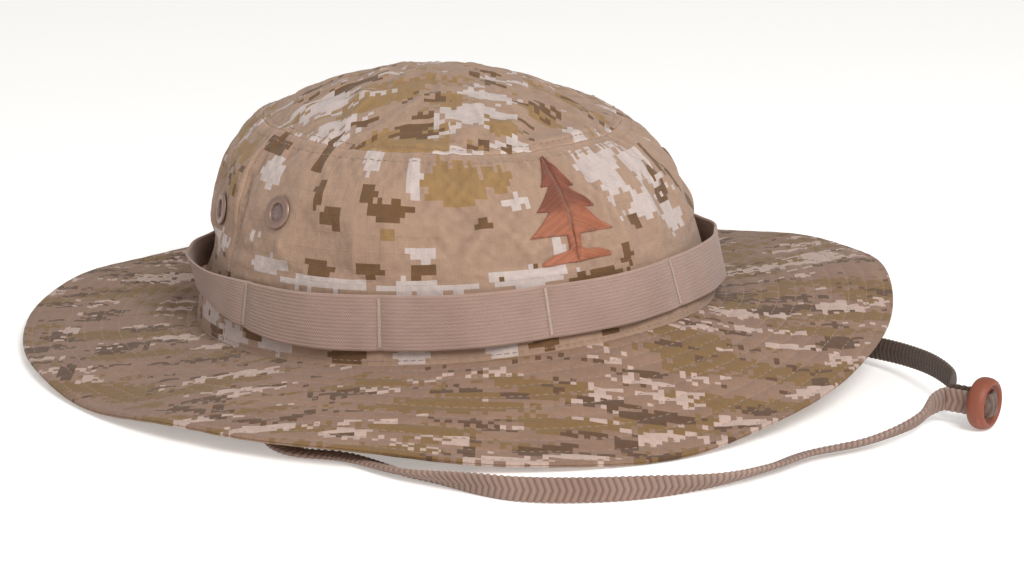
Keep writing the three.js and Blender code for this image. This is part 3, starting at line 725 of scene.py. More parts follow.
def calm(azimuth, up):
    """1 over open cloth and 0 at a vent, which holds the cloth where it is."""
    total = 1 + 0 * azimuth
    for angle, height in VENTS.values():
        x = wrap(azimuth - angle, -180) * 1.5
        y = up * SEAM_HEIGHT - height
        total = total * (1 - np.exp(-((np.hypot(x, y) / 8) ** 4)))
    return total


def crown_cloth(azimuth, up, lift=0.0):
    """A point on the finished crown, or a distance off it."""
    azimuth = np.asarray(azimuth, float)
    up = np.asarray(up, float) + 0 * azimuth
    open_cloth = calm(azimuth, up)
    above = np.clip((up - 0.36) * 8, 0, 1)
    height = open_cloth * (fold_height(azimuth, up) * above + crown_detail(azimuth, up)) + lift
    normal = crown_normal(azimuth, up)
    moved = settled_move(azimuth, up) * (open_cloth * above)[..., None]
    return crown_shape(azimuth, up) + moved + normal * height[..., None]


def at_vent(points):
    """True for points close enough to a vent to be inside its hole."""
    found = np.zeros(len(points), bool)
    for angle, height in VENTS.values():
        centre = crown_shape(np.array(angle), np.array(height / SEAM_HEIGHT))
        found |= np.linalg.norm(points - centre, axis=1) < 4.4
    return found


def side_pattern(azimuth, up):
    """Where the print of the side wall lies: millimetres round from the front, and up."""
    x = np.radians(wrap(azimuth - FRONT, -180)) * MEAN_RADIUS
    return xyz(x, up * SEAM_HEIGHT, 0 * x)


# The printed cloth of the flat panels is turned so that its streaks run across the hat's front
# left to its rear right.
PRINT_TURN = np.radians(-28.5)


def flat_pattern(points):
    """Where the print of a flat panel lies, seen from above."""
    x = points[..., 0] * np.cos(PRINT_TURN) + points[..., 1] * np.sin(PRINT_TURN)
    y = -points[..., 0] * np.sin(PRINT_TURN) + points[..., 1] * np.cos(PRINT_TURN)
    return xyz(x, y, 0 * x)


PALE = {"base": "a48670", "second": "9f816d", "light": "c0b0a9", "ochre": "947349", "dark": "694a2c"}
# SHADED is the crown's print darkened for the brim: painted shade on the same cloth.
SHADED = {"base": "94745f", "second": "8c6d5a", "light": "bfa598", "ochre": "80613a", "dark": "5f432d"}

# Where the larger patches of each colour lie on a panel: x, y, half width and half height.
SIDE_PATCHES = {
    "light": [
        (-64, 63, 3.5, 6), (-127, 31, 11, 3), (-101, 27, 20, 2.2), (-60, 26.5, 20, 2.2),
        (-22, 28, 15, 4), (-61, 38.5, 5.5, 2.6), (44, 54, 22, 12.5), (24, 62, 11, 5),
        (-21, 55, 5, 2.2), (-137, 59, 7, 5), (-86, 67, 5, 4), (-8, 36, 3, 8),
        (-35, 4, 6, 3.5), (-67, 4, 6, 3.2), (60, 40, 9, 7), (-122, 5, 9, 3), (-148, 4, 12, 4),
        (-168, 8, 9, 4),
    ],
    "base": [(41, 57, 5, 6), (52, 49, 3, 7), (30, 50, 5, 3), (66, 43, 3, 3)],
    "ochre": [(-46, 61, 14, 6.5), (-28, 62, 8, 3.5), (-132, 22.5, 5, 1.4), (-74, 45, 3, 2)],
    "dark": [
        (-75, 52, 9, 3.2), (-83, 57, 3, 3.4), (-98, 49, 6, 3.6), (-106, 55, 2.4, 4.5),
        (-103, 32.5, 6, 3), (-81, 32.5, 5.5, 2.2), (-62, 33, 4.5, 3), (-37, 48, 5, 1.5),
        (8, 24.5, 13, 3), (22, 31, 3, 5), (70, 58, 3, 5), (76, 50, 3, 5), (58, 47, 2.5, 2.5),
        (60, 56, 2.4, 3.4), (63, 49, 2.4, 3),
        (32, 42, 4.5, 2.5), (93, 37, 4, 6), (-20, 4.5, 6, 3.2), (-90, 4.5, 8, 3.5), (6, 4, 4, 2),
        (-134, 7, 6, 2.5), (-160, 3, 5, 2),
        (-146, 66, 9, 2.2), (-112, 66, 3.2, 3.6),
    ],
}
TOP_PATCHES = {
    "light": [
        (8, -44, 12, 6), (43, -36, 7, 4), (-46, -10, 11, 8), (-27, -23, 14, 3.5), (-59, -24, 5, 4),
        (-7, -55, 8, 4),
    ],
    "ochre": [(17, -51, 6, 6), (-1, -36, 4, 5), (31, -33, 7, 4)],
    "dark": [(11, -62, 2.2, 2.5), (-13, -52, 6, 2.4), (-34, -3, 8, 3)],
}

BRIM_PATCHES = {
    "light": [
        (-32, -148, 9, 4), (-10, -157, 8, 4), (42, -116, 12, 2.3), (79, -116, 20, 2.3), (46, -135, 12, 3),
        (-140, -19, 4, 9), (-124, -78, 5, 7), (-112, 59, 13, 8), (-74, -87, 15, 5), (107, 16, 13, 8),
        (108, -46, 14, 6), (130, 23, 12, 10), (134, -41, 10, 6), (132, -88, 8, 6), (147, -31, 5, 9),
    ],
    "ochre": [
        (-2, -129, 27, 4), (24, -122, 17, 2), (-8, -144, 18, 3.3), (96, -118, 15, 3), (-106, -93, 9, 8),
        (84, -79, 11, 6),
    ],
    "dark": [
        (6, -157, 3, 3.5), (26, -154, 5, 3), (56, -145, 4, 3.5), (67, -128, 13, 3.3), (-133, -64, 3, 8),
        (-121, -44, 5, 4), (121, -101, 3, 3), (130, -73, 6, 4),
    ],
}

SIDE_CAMO = camouflage(
    "crown_side_camo", PALE, {"light": 0.60, "ochre": 0.64, "dark": 0.63}, SIDE_PATCHES, (-150, 96), 1.8)
TOP_CAMO = camouflage(
    "crown_top_camo", PALE, {"light": 0.615, "ochre": 0.61, "dark": 0.65}, TOP_PATCHES, None, 3.0, 3.1)
BRIM_CAMO = camouflage(
    "brim_camo", SHADED, {"light": 0.6, "ochre": 0.56, "dark": 0.635}, BRIM_PATCHES, None, 3.2, 11.7)
THREAD = thread_material("seam_thread", "9a8272", "8a7060")
LINING = plain_cloth("lining_tape", "8f7b68", "84705e", 1.1, 0.09)
WEBBING = webbing_cloth("band_webbing", "a2867a", "9c8073")


# ------------------------------------------------------------------ crown pieces
def crown_side(name, first, node):
    """One half of the side wall, from seam to seam."""
    azimuth, up = grid(first + 0.05, first + 179.95, 380, 0.012, 0.9995, 118)
    outer = crown_cloth(azimuth, up)
    inner = crown_cloth(azimuth, up, -CLOTH)
    piece = shell(name, outer, inner, side_pattern(azimuth, up), hole=at_vent)
    finish_piece(piece, SIDE_CAMO, stands_for=[node])


TOP_BOW = 0.006  # per mm, how much the print's streaks bow where the top rolls over


def crown_top():
    """The oval tip."""
    azimuth, up = ring_grid(0.9, np.linspace(1.0005, 1.9995, 110))
    outer = crown_cloth(azimuth, up)
    inner = crown_cloth(azimuth, up, -CLOTH)
    pattern = flat_pattern(outer)
    pattern[..., 1] += TOP_BOW * pattern[..., 0] ** 2
    piece = shell("crown_top_cloth", outer, inner, pattern, closed=True)
    finish_piece(piece, TOP_CAMO, stands_for=["crown_top"])


def crown_path(azimuth, up, lift):
    """A path off the crown's cloth, and its normals."""
    azimuth, up = np.broadcast_arrays(azimuth, up)
    return crown_cloth(azimuth, up, lift), crown_normal(azimuth, up)


def crown_stitching():
    """Rows on both sides of the top seam and of the side seams, and one above the brim."""
    around = np.linspace(0, 360, 1500)
    rise = np.linspace(0.03, 0.96, 300)
    rows = [crown_path(around, 1 + away / SEAM_HEIGHT, 0.05) for away in (-2.4, 2.4)]
    for seam in (0, 180):
        rows += [crown_path(seam + away, rise, 0.05) for away in (-1.5, 1.5)]
    rows.append(crown_path(around, 0.045, 0.02))
    piece = stitched("crown_stitches", rows, 0.16, pitch=2.6, rise=0.14)
    finish_piece(piece, THREAD)


crown_side("crown_side_front_cloth", 180, "crown_side_front")
crown_side("crown_side_rear_cloth", 0, "crown_side_rear")
crown_top()
crown_stitching()


# ------------------------------------------------------------------ brim
EDGE_HALF_THICKNESS = 0.9


def brim_half(out):
    """Half thickness of the brim, which thins out towards its edge."""
    thinner = np.clip((out - 0.86) / 0.14, 0, 1) ** 2
    return BRIM_HALF_THICKNESS - (BRIM_HALF_THICKNESS - EDGE_HALF_THICKNESS) * thinner


def brim_middle(azimuth, out):
    """A point midway through the brim, where out is 0 at the crown and 1 at the edge."""
    fall = np.clip(out / LEVEL_RIM, 0, 1)
    height = base_height(azimuth) * (1 - fall) + edge_height(azimuth) * fall
    turn = np.radians(azimuth)
    drift = np.sin(9 * turn + 1.1 * np.sin(2 * turn)) + 0.7 * np.sin(14 * turn + 2)
    height = height + 0.55 * drift * np.clip(out, 0, 1) ** 1.5
    height = np.maximum(height, REST_LEVEL + brim_half(out) + 0.05)
    return oval(azimuth, HEAD_HALF_WIDTH + BRIM_WIDTH * out, HEAD_HALF_LENGTH + BRIM_WIDTH * out, height)


def quilting(azimuth, distance):
    """Half thickness of the brim between its stitched rows, with small puckers at the rows."""
    across = (distance - ROW_FIRST) / ROW_SPACING
    puff = np.abs(np.sin(np.pi * across)) ** 0.55
    row = np.round(across)
    turn = np.radians(azimuth)
    pucker = np.sin((88 + 9 * np.sin(1.7 * row)) * turn + 2.4 * row + 1.5 * np.sin(6 * turn + row))
    near = 1 - np.abs(across - row) * 1.4
    return brim_half(distance / BRIM_WIDTH) - 0.5 * (1 - puff) + 0.1 * (pucker - 1) * near


BRIM_FIRST = -2.2


def brim_face(azimuth, distance, side):
    """A point on the brim's top (side 1) or underside (side -1)."""
    point = brim_middle(azimuth, distance / BRIM_WIDTH)
    point[..., 2] += side * quilting(azimuth, distance)
    return point


def brim_ply(name, side, node):
    """One ply from the head opening to the edge, where it turns over to the middle."""
    turn_over = BRIM_WIDTH - EDGE_HALF_THICKNESS
    flat_rows = np.linspace(BRIM_FIRST, turn_over, 96)
    azimuth, distance = ring_grid(0.45, flat_rows)
    outer = brim_face(azimuth, distance, side)
    inner = brim_middle(azimuth, distance / BRIM_WIDTH)
    inner[..., 2] += side * 0.4
    bend = np.radians([20, 40, 60, 80, 86])
    around, turn = np.meshgrid(azimuth[:, 0], bend, indexing="ij")
    reach = (turn_over + EDGE_HALF_THICKNESS * np.sin(turn)) / BRIM_WIDTH
    edge = brim_middle(around, reach)
    edge[..., 2] += side * np.cos(turn) * quilting(around, turn_over + 0 * turn)
    edge_inner = brim_middle(around, reach - 0.5 / BRIM_WIDTH)
    edge_inner[..., 2] += side * 0.35 * np.cos(turn)
    outer = np.concatenate([outer, edge], axis=1)
    inner = np.concatenate([inner, edge_inner], axis=1)
    if side < 0:
        outer = outer[::-1]
        inner = inner[::-1]
    piece = shell(name, outer, inner, flat_pattern(outer), closed=True)
    finish_piece(piece, BRIM_CAMO, stands_for=[node])


def brim_stitching(name, side):
    """The rows of stitches on one face of the brim."""
    rows = []
    azimuth = np.linspace(0, 360, 1600)
    for number in range(ROW_COUNT):
        distance = np.full_like(azimuth, ROW_FIRST + ROW_SPACING * number)
        path = brim_face(azimuth, distance, side)
        path[:, 2] += side * 0.02
        rows.append((path, np.tile([0.0, 0.0, side], (len(path), 1))))
    piece = stitched(name, rows, 0.2, pitch=2.8, rise=0.2)
    finish_piece(piece, THREAD)


brim_ply("brim_top_cloth", 1, "brim_top_ply")
brim_ply("brim_bottom_cloth", -1, "brim_bottom_ply")
brim_stitching("brim_top_stitches", 1)
brim_stitching("brim_bottom_stitches", -1)


def brim_interlining():
    """The stiff layer between the plies."""
    azimuth, distance = ring_grid(1.2, np.linspace(-2.0, 59, 60))
    middle = brim_middle(azimuth, distance / BRIM_WIDTH)
    half = 0.3 + 0.03 * np.sin(azimuth * 1.7 + distance * 2.3)
    outer = middle + xyz(0, 0, half)
    inner = middle - xyz(0, 0, half)
    felt = plain_cloth("interlining_felt", "d8d2c4", "cfc8b8", 3.1, 0.04)
    piece = shell("brim_interlining_felt", outer, inner, flat_pattern(middle), closed=True)
    finish_piece(piece, felt, stands_for=["brim_interlining"])


brim_interlining()


# ------------------------------------------------------------------ foliage band
BAND_MIDDLE = 16.0
BAND_HALF = 9.5
BAND_THICKNESS = 1.2
BAND_STAND_OFF = 0.8
BAND_START = -189.0
BAND_OVERLAP = 9.0
BAND_LAP = 1.8
LAP_RUN_UP = 5.0
RIB_PITCH = 1.25
TACK_ANGLES = [-184.5, -144.5, -79.5, -44.5, -9.5, 25.5, 91.5, 135.5]
LOOP_BULGES = [2.5, 4.8, 2.0, 2.2, 2.0, 4.0, 3.0, 2.5]


def from_tacks(angle):
    """For an angle from the front: the loop's bulge, the share along the loop, and degrees to a tack."""
    wrapped = wrap(angle, TACK_ANGLES[0])
    ends = np.array(TACK_ANGLES[1:] + [TACK_ANGLES[0] + 360])
    number = np.minimum(np.searchsorted(ends, wrapped), len(ends) - 1)
    start = np.array(TACK_ANGLES)[number]
    along = (wrapped - start) / (ends[number] - start)
    bulge = np.array(LOOP_BULGES)[number]
    return bulge, along, np.minimum(wrapped - start, ends[number] - wrapped)


def band_point(angle, across, lift):
    """A point of the webbing; across runs from -1 at its lower edge to 1 at its upper one."""
    bulge, along, near = from_tacks(angle)
    swing = np.sin(np.pi * np.clip(along, 0, 1))
    lap_begins = BAND_START + 360 - LAP_RUN_UP - 1
    lap = BAND_LAP * np.clip((angle - lap_begins) / LAP_RUN_UP, 0, 1)
    loose = swell(angle, -112, 30)
    flare = 1 + (0.22 + 0.4 * loose) * across
    stand_off = BAND_STAND_OFF + bulge * swing ** 1.5 * flare + lap
    dent = -0.25 * bell(near, 1.1) + 0.4 * bell(near - 3.2, 2.0)
    ripple = 0.25 * np.sin(np.radians(angle) * 23 + 1.5 * across) * swing * (0.4 + abs(across))
    sag = -0.5 * swing * np.minimum(bulge, 3) / 3
    twist = loose * (3.2 - 6.0 * across)
    height = BAND_MIDDLE + BAND_HALF * across + sag + twist
    azimuth = FRONT + angle
    up = height / SEAM_HEIGHT
    distance = stand_off + dent + ripple + lift
    return crown_shape(azimuth, up) + crown_normal(azimuth, up) * distance[..., None]


def foliage_band():
    """The webbing, once round the crown and a little over its own end."""
    angle, across = grid(BAND_START, BAND_START + 360 + BAND_OVERLAP, 860, -1, 1, 100)
    ribs = np.cos(across * BAND_HALF * 2 * np.pi / RIB_PITCH)
    edge = np.clip((1 - np.abs(across)) * BAND_HALF / 0.7, 0, 1) ** 0.5
    half = (BAND_THICKNESS / 2 * (0.35 + 0.65 * edge)) + 0.05 * ribs
    outer = band_point(angle, across, BAND_THICKNESS / 2 + half)
    inner = band_point(angle, across, BAND_THICKNESS / 2 - half)
    pattern = xyz(np.radians(angle) * MEAN_RADIUS, across * BAND_HALF, 0)
    piece = shell("foliage_band_webbing", outer, inner, pattern)
    finish_piece(piece, WEBBING, stands_for=["foliage_band"])


def band_tack(number, angle):
    """A dense zigzag of thread across the webbing."""
    turns = 30
    step = np.arange(turns * 2 + 1)
    across = np.linspace(-0.88, 0.88, len(step))
    sideways = np.where(step % 2 == 0, -0.42, 0.42)
    fine = np.linspace(0, len(step) - 1, len(step) * 4)
    across = np.interp(fine, step, across)
    sideways = np.interp(fine, step, sideways)
    over = 0.12 + 0.08 * np.cos(np.pi * fine) ** 2
    lap = BAND_LAP if number == 1 else 0.0
    angles = angle + sideways
    path = band_point(angles, across, BAND_THICKNESS + lap + over)
    normal = crown_normal(FRONT + angles, (BAND_MIDDLE + BAND_HALF * across) / SEAM_HEIGHT)
    piece = tubes(f"band_tack_thread_{number}", path[None], normal[None], 0.2, 6)
    finish_piece(piece, TACK_THREAD, stands_for=[f"band_tack_{number}"])


TACK_THREAD = thread_material("tack_thread", "bba597", "a8907f")
foliage_band()
for number, angle in enumerate(TACK_ANGLES, 1):
    band_tack(number, angle)


# ------------------------------------------------------------------ vents
VENT_PAINT = metal_paint("vent_paint", "94796d", "a8938a")
VENT_WIRE = metal_paint("vent_wire", "8d7674", "b3a29d")


def vent_place(azimuth, height):
    """Turns points with their third axis out of the cloth into place at a vent."""
    at = np.array(azimuth)
    up = np.array(height / SEAM_HEIGHT)
    out = crown_normal(at, up)
    side = unit(np.cross([0.0, 0.0, 1.0], out))
    above = np.cross(out, side)
    centre = crown_shape(at, up)
    return lambda points: centre + points @ np.stack([side, above, out])


def vent(name, azimuth, height):
    """An eyelet, its washer inside the wall and its woven wire screen."""
    place = vent_place(azimuth, height)
    eyelet = [
        [3.1, -2.6], [3.1, 0.35], [3.2, 1.05], [3.8, 1.4], [4.9, 1.38], [5.6, 1.1],
        [5.85, 0.6], [5.7, 0.42], [3.9, 0.42], [3.9, -2.6],
    ]
    piece = lathe(f"vent_eyelet_ring_{name}", eyelet, 64, place)
    finish_piece(piece, VENT_PAINT, stands_for=[f"vent_eyelet_{name}"])
    washer = [[4.2, -1.75], [4.6, -1.7], [5.2, -1.75], [5.5, -2.0], [5.5, -2.35], [4.2, -2.45]]
    piece = lathe(f"vent_washer_ring_{name}", washer, 64, place)
    finish_piece(piece, VENT_PAINT, stands_for=[f"vent_washer_{name}"])
    pitch = 0.5
    wires = []
    lines = np.arange(-6, 7) * pitch
    for number, offset in enumerate(lines):
        half = np.sqrt(3.45 ** 2 - offset ** 2)
        along = np.linspace(-half, half, 40)
        weave = 0.1 * np.cos(np.pi * along / pitch + np.pi * number)
        wires.append(xyz(along, offset, 0.15 + weave))
        wires.append(xyz(offset, along, 0.15 - weave))
    paths = place(np.array(wires).reshape(-1, 3)).reshape(len(wires), -1, 3)
    out = place(np.array([[0.0, 0.0, 1.0]]))[0] - place(np.array([[0.0, 0.0, 0.0]]))[0]
    piece = tubes(f"vent_screen_mesh_{name}", paths, np.broadcast_to(out, paths.shape), 0.13)
    finish_piece(piece, VENT_WIRE, stands_for=[f"vent_screen_{name}"])


for name, (azimuth, height) in VENTS.items():
    vent(name, azimuth, height)


# ------------------------------------------------------------------ emblem
EMBLEM_HALF_WIDTH = 15.5
EMBLEM_HEIGHT = 36.0
EMBLEM_MIDDLE = 50.5
# The right half of a plain pine tree as [share of half width, share of height].
TREE_HALF = np.array([
    [0, 0.5], [0.46, 0.24], [0.26, 0.24], [0.74, 0.02], [0.44, 0.02], [1, -0.22],
    [0.15, -0.22], [0.15, -0.36], [0.5, -0.39], [0.8, -0.46], [0.8, -0.5], [0, -0.5],
])


def in_tree(x, y):
    """True for points inside the right half of the tree, x and y in millimetres."""
    corners = TREE_HALF * [EMBLEM_HALF_WIDTH, EMBLEM_HEIGHT]
    found = np.zeros(np.shape(x), bool)
    for (ax, ay), (bx, by) in zip(corners, np.roll(corners, -1, axis=0)):
        crosses = (ay > y) != (by > y)
        at = ax + (y - ay) * (bx - ax) / (by - ay + 1e-9)
        found ^= crosses & (x < at)
    return found & (x >= 0)


def on_front(x, y, lift):
    """A point on the crown's front at x to the wearer's left and y above the emblem's middle."""
    up = (EMBLEM_MIDDLE + y) / SEAM_HEIGHT
    azimuth = FRONT + np.degrees(np.arcsin(x / (HEAD_HALF_WIDTH * 0.87)))
    return crown_path(azimuth, up, lift)


def satin_rows(slope, spacing, side):
    """Slanted threads that fill one half of the tree, as points in its plane."""
    rows = []
    part = np.linspace(0, 1, 8)
    reach = np.linspace(0, EMBLEM_HALF_WIDTH, 220)
    for level in np.arange(-EMBLEM_HEIGHT, EMBLEM_HEIGHT, spacing):
        height = level - slope * reach
        inside = in_tree(reach, height).astype(int)
        edges = np.flatnonzero(np.diff(np.concatenate([[0], inside, [0]])))
        for first, last in zip(edges[::2], edges[1::2]):
            x = reach[first] + (reach[last - 1] - reach[first]) * part
            if x[-1] - x[0] > 0.4:
                rows.append((side * x, level - slope * x))
    return rows


def emblem():
    """A plain pine tree in satin stitch, over a slanted underlay."""
    threads = []
    for side in (-1, 1):
        threads += [(x, y, 0.62) for x, y in satin_rows(0.55, 0.42, side)]
        threads += [(x, y, 0.3) for x, y in satin_rows(-0.9, 0.6, side)]
    paths = []
    lifts = []
    tones = []
    arch = np.sin(np.pi * np.linspace(0, 1, 8)) ** 0.5
    for number, (x, y, height) in enumerate(threads):
        point, normal = on_front(x, y, height * arch + 0.05)
        paths.append(point)
        lifts.append(normal)
        tones.append(xyz(number, x, y))
    paths = np.array(paths)
    tones = np.repeat(np.array(tones)[:, :, None], 5, axis=2)
    piece = tubes("emblem_embroidery", paths, np.array(lifts), 0.25, 5, tones)
    finish_piece(piece, EMBROIDERY, stands_for=["emblem_patch"])


def embroidery_material():
    """Glossy rust thread, darker in the tree's upper tier and at random threads."""
    graph = Graph("emblem_thread", 0.5)
    parts = graph.parts(graph.place)
    plane = graph.node("CombineXYZ", {0: parts[1], 1: parts[2]}).outputs[0]
    patchy = graph.times(graph.noise(plane, 0.16, 2.0), 9.0)
    tier = graph.range(graph.plus(parts[2], patchy), 3.0, 7.0)
    mixed = graph.mix(tier, rgb("9c5b3c"), rgb("7a3d22"))
    mixed = graph.shade(mixed, graph.own(parts[0]), 0.75, 1.25)
    strands = graph.strands((1800, 1800, 2600))
    mixed = graph.shade(mixed, strands, 0.8, 1.2)
    return graph.done(mixed, graph.bump(strands, 0.06), sheen=0.3)


EMBROIDERY = embroidery_material()
emblem()


# ------------------------------------------------------------------ inside the crown
def inside_ring(name, low, high, outer, thickness, node, ripple):
    """A tape round the inside of the crown between two heights."""
    azimuth, up = ring_grid(0.6, np.linspace(low, high, 40) / SEAM_HEIGHT)
    turn = np.radians(azimuth)
    wave = ripple * np.sin(43 * turn + 2 * np.sin(5 * turn)) * np.sin(9 * up + 3 * turn)
    share = (up - up.min()) / (up.max() - up.min())
    roll = np.clip(np.minimum(share, 1 - share) * 14, 0, 1) ** 0.5
    half = thickness / 2 * (0.4 + 0.6 * roll)
    normal = crown_normal(azimuth, up)
    middle = crown_shape(azimuth, up) + normal * (outer - thickness / 2 + wave)[..., None]
    pattern = side_pattern(azimuth, up)
    inner = middle - normal * half[..., None]
    piece = shell(name, middle + normal * half[..., None], inner, pattern, closed=True)
    finish_piece(piece, LINING, stands_for=[node])


def inside_row(azimuth, height, depth):
    """A path inside the crown at a distance from its face, and its lifts."""
    azimuth, up = np.broadcast_arrays(azimuth, height / SEAM_HEIGHT)
    normal = crown_normal(azimuth, up)
    return crown_shape(azimuth, up) + normal * depth, -normal


SIDE_LOW = BRIM_HALF_THICKNESS + 3 * GAP
SWEATBAND_FACE = -CLOTH - GAP - 1.0
BINDING_FACE = -CLOTH - 0.9 - 0.8


def lining_stitching():
    """Two rows on the sweatband and two on the binding."""
    around = np.linspace(0, 360, 1400)
    rows = [inside_row(around, SIDE_LOW + up, SWEATBAND_FACE - 0.1) for up in (1.6, 28.2)]
    rows += [inside_row(around, height, BINDING_FACE - 0.12) for height in (59.7, 64.3)]
    finish_piece(stitched("lining_stitches", rows, 0.2, pitch=3.0), THREAD)


inside_ring("sweatband_tape", SIDE_LOW, SIDE_LOW + 30, -CLOTH - GAP, 1.0, "sweatband", 0.12)
inside_ring("crown_binding_tape", 58.5, 65.5, -CLOTH - 0.9, 0.8, "crown_seam_binding", 0.16)
lining_stitching()


def size_label():
    """A blank woven label, sewn round its edge."""
    azimuth, height = grid(REAR - 10, REAR + 10, 90, 8, 22, 60)
    up = height / SEAM_HEIGHT
    normal = crown_normal(azimuth, up)
    curl = 0.25 * np.sin(np.radians((azimuth - REAR) * 18)) * ((height - 15) / 7) ** 2
    face = crown_shape(azimuth, up) + normal * (SWEATBAND_FACE - GAP - 0.1 - curl * 0.6)[..., None]
    pattern = side_pattern(azimuth, up)
    paper = plain_cloth("label_satin", "e2dccf", "d6cfc0", 0.35, 0.03, 0.75)
    piece = shell("size_label_cloth", face, face - normal * 0.3, pattern)
    finish_piece(piece, paper, stands_for=["size_label"])
    depth = SWEATBAND_FACE - GAP - 0.5
    across = np.linspace(REAR - 9, REAR + 9, 120)
    upward = np.linspace(9.2, 20.8, 80)
    rows = [inside_row(across, height, depth) for height in (9.2, 20.8)]
    rows += [inside_row(azimuth, upward, depth) for azimuth in (REAR - 9, REAR + 9)]
    finish_piece(stitched("size_label_stitches", rows, 0.14, pitch=1.8), THREAD)


size_label()


# ------------------------------------------------------------------ chin cord
CORD_HALF_WIDTH = 4.0
CORD_HALF_THICKNESS = 1.05
BRAID_SIDES = 40  # points round the braid
FAR_STRAND = 372.0  # distance along the cord beyond which it is darkened with painted shade
RIB_STEP = 2.15  # along the cord, from rib to rib
KEEPER_RADIUS = 8.6
KEEPER_THICKNESS = 6.5
KEEPER_DISH = 1.8
KEEPER_CENTRE = np.array([99.0, -183.0, REST_LEVEL + KEEPER_RADIUS])
KEEPER_TURN = np.radians(297.5)
KEEPER_OUT = np.array([np.cos(KEEPER_TURN), np.sin(KEEPER_TURN), 0.0])
KEEPER_SIDE = np.array([-KEEPER_OUT[1], KEEPER_OUT[0], 0.0])
SLOT_SPACING = 5.2
SLOT_HALF_WIDTH = 1.4
SLOT_HALF_HEIGHT = 4.35
FLAT_LEVEL = REST_LEVEL + 1.1
EDGE_LEVEL = REST_LEVEL + CORD_HALF_WIDTH

# Each strand as points with the tilt of the cord's width: 0 lies flat and 90 stands on edge.
RIGHT_STRAND = [
    (-83.5, 0, -1.5, 90), (-83.5, -9, -2.3, 90), (-84, -28, -8, 84), (-97, -60, -9, 25),
    (-110, -86, FLAT_LEVEL, 6), (-109.6, -101.4, FLAT_LEVEL, 5), (-98.5, -113.5, FLAT_LEVEL, 6),
    (-88, -143, FLAT_LEVEL + 0.8, 30), (-70, -174, EDGE_LEVEL, 90), (-43, -189, EDGE_LEVEL, 90),
    (-12, -194.5, EDGE_LEVEL - 0.6, 46), (11, -190, EDGE_LEVEL - 1.4, 28),
    (29, -184.5, EDGE_LEVEL - 1.4, 24), (53, -184, EDGE_LEVEL - 0.8, 32),
    (74, -180.5, EDGE_LEVEL + 1.8, 56), (85, -174, EDGE_LEVEL + 3.8, 82),
]
LEFT_STRAND = [
    (104, -160, -2.6, 90), (108, -146, -2.0, 90), (111, -125, -3.4, 90), (109, -98, -5.6, 80),
    (101, -64, -7.4, 62), (90, -30, -5, 78), (83.5, -9, -2.1, 90), (83.5, 0, -1.5, 90),
]


def near_keeper(outward, sideways):
    """A point on the level of the keeper's centre."""
    return KEEPER_CENTRE + outward * KEEPER_OUT + sideways * KEEPER_SIDE


def bight():
    """The cord's turn over the keeper's dished face, from slot to slot."""
    half = SLOT_SPACING / 2
    behind = -KEEPER_THICKNESS / 2 - 9.5
    farthest = KEEPER_THICKNESS / 2 - KEEPER_DISH + GAP + 1.1
    corner = 1.35
    one = [(share * behind, half) for share in (1, 0.9, 0.8, 0.5)]
    for turn in np.radians([0, 22, 45, 68, 90]):
        one.append((farthest - corner + corner * np.sin(turn), half - corner + corner * np.cos(turn)))
    there = [(*near_keeper(out, -side), 90) for out, side in one]
    back = [(*near_keeper(out, side), 90) for out, side in reversed(one)]
    return there + back


def rounded(wave, power):
    """A sine wave made squarer by a power below 1."""
    return np.sign(wave) * np.abs(wave) ** power


def between(first, second, start, end, at):
    """The value at a knot, on the line from the first value to the second one."""
    return first * (end - at) / (end - start) + second * (at - start) / (end - start)


def smooth_path(stations, step):
    """A smooth curve through the stations, with a point at every step of its length."""
    stations = np.array(stations, float)
    dense = []
    before = 2 * stations[:1] - stations[1:2]
    after = 2 * stations[-1:] - stations[-2:-1]
    padded = np.concatenate([before, stations, after])
    gaps = np.linalg.norm(np.diff(padded[:, :3], axis=0), axis=1) ** 0.5
    knots = np.concatenate([[0], np.cumsum(gaps)])
    for k in range(1, len(padded) - 2):
        t = np.linspace(knots[k], knots[k + 1], 40, endpoint=False)[:, None]
        t0, t1, t2, t3 = knots[k - 1:k + 3]
        p0, p1, p2, p3 = padded[k - 1:k + 3]
        middle = between(p1, p2, t1, t2, t)
        early = between(between(p0, p1, t0, t1, t), middle, t0, t2, t)
        late = between(middle, between(p2, p3, t2, t3, t), t1, t3, t)
        dense.append(between(early, late, t1, t2, t))
    dense = np.concatenate(dense + [stations[-1:]])
    reached = np.concatenate([[0], np.cumsum(np.linalg.norm(np.diff(dense[:, :3], axis=0), axis=1))])
    places = np.arange(0, reached[-1], step)
    return np.stack([np.interp(places, reached, dense[:, k]) for k in range(4)], -1), places


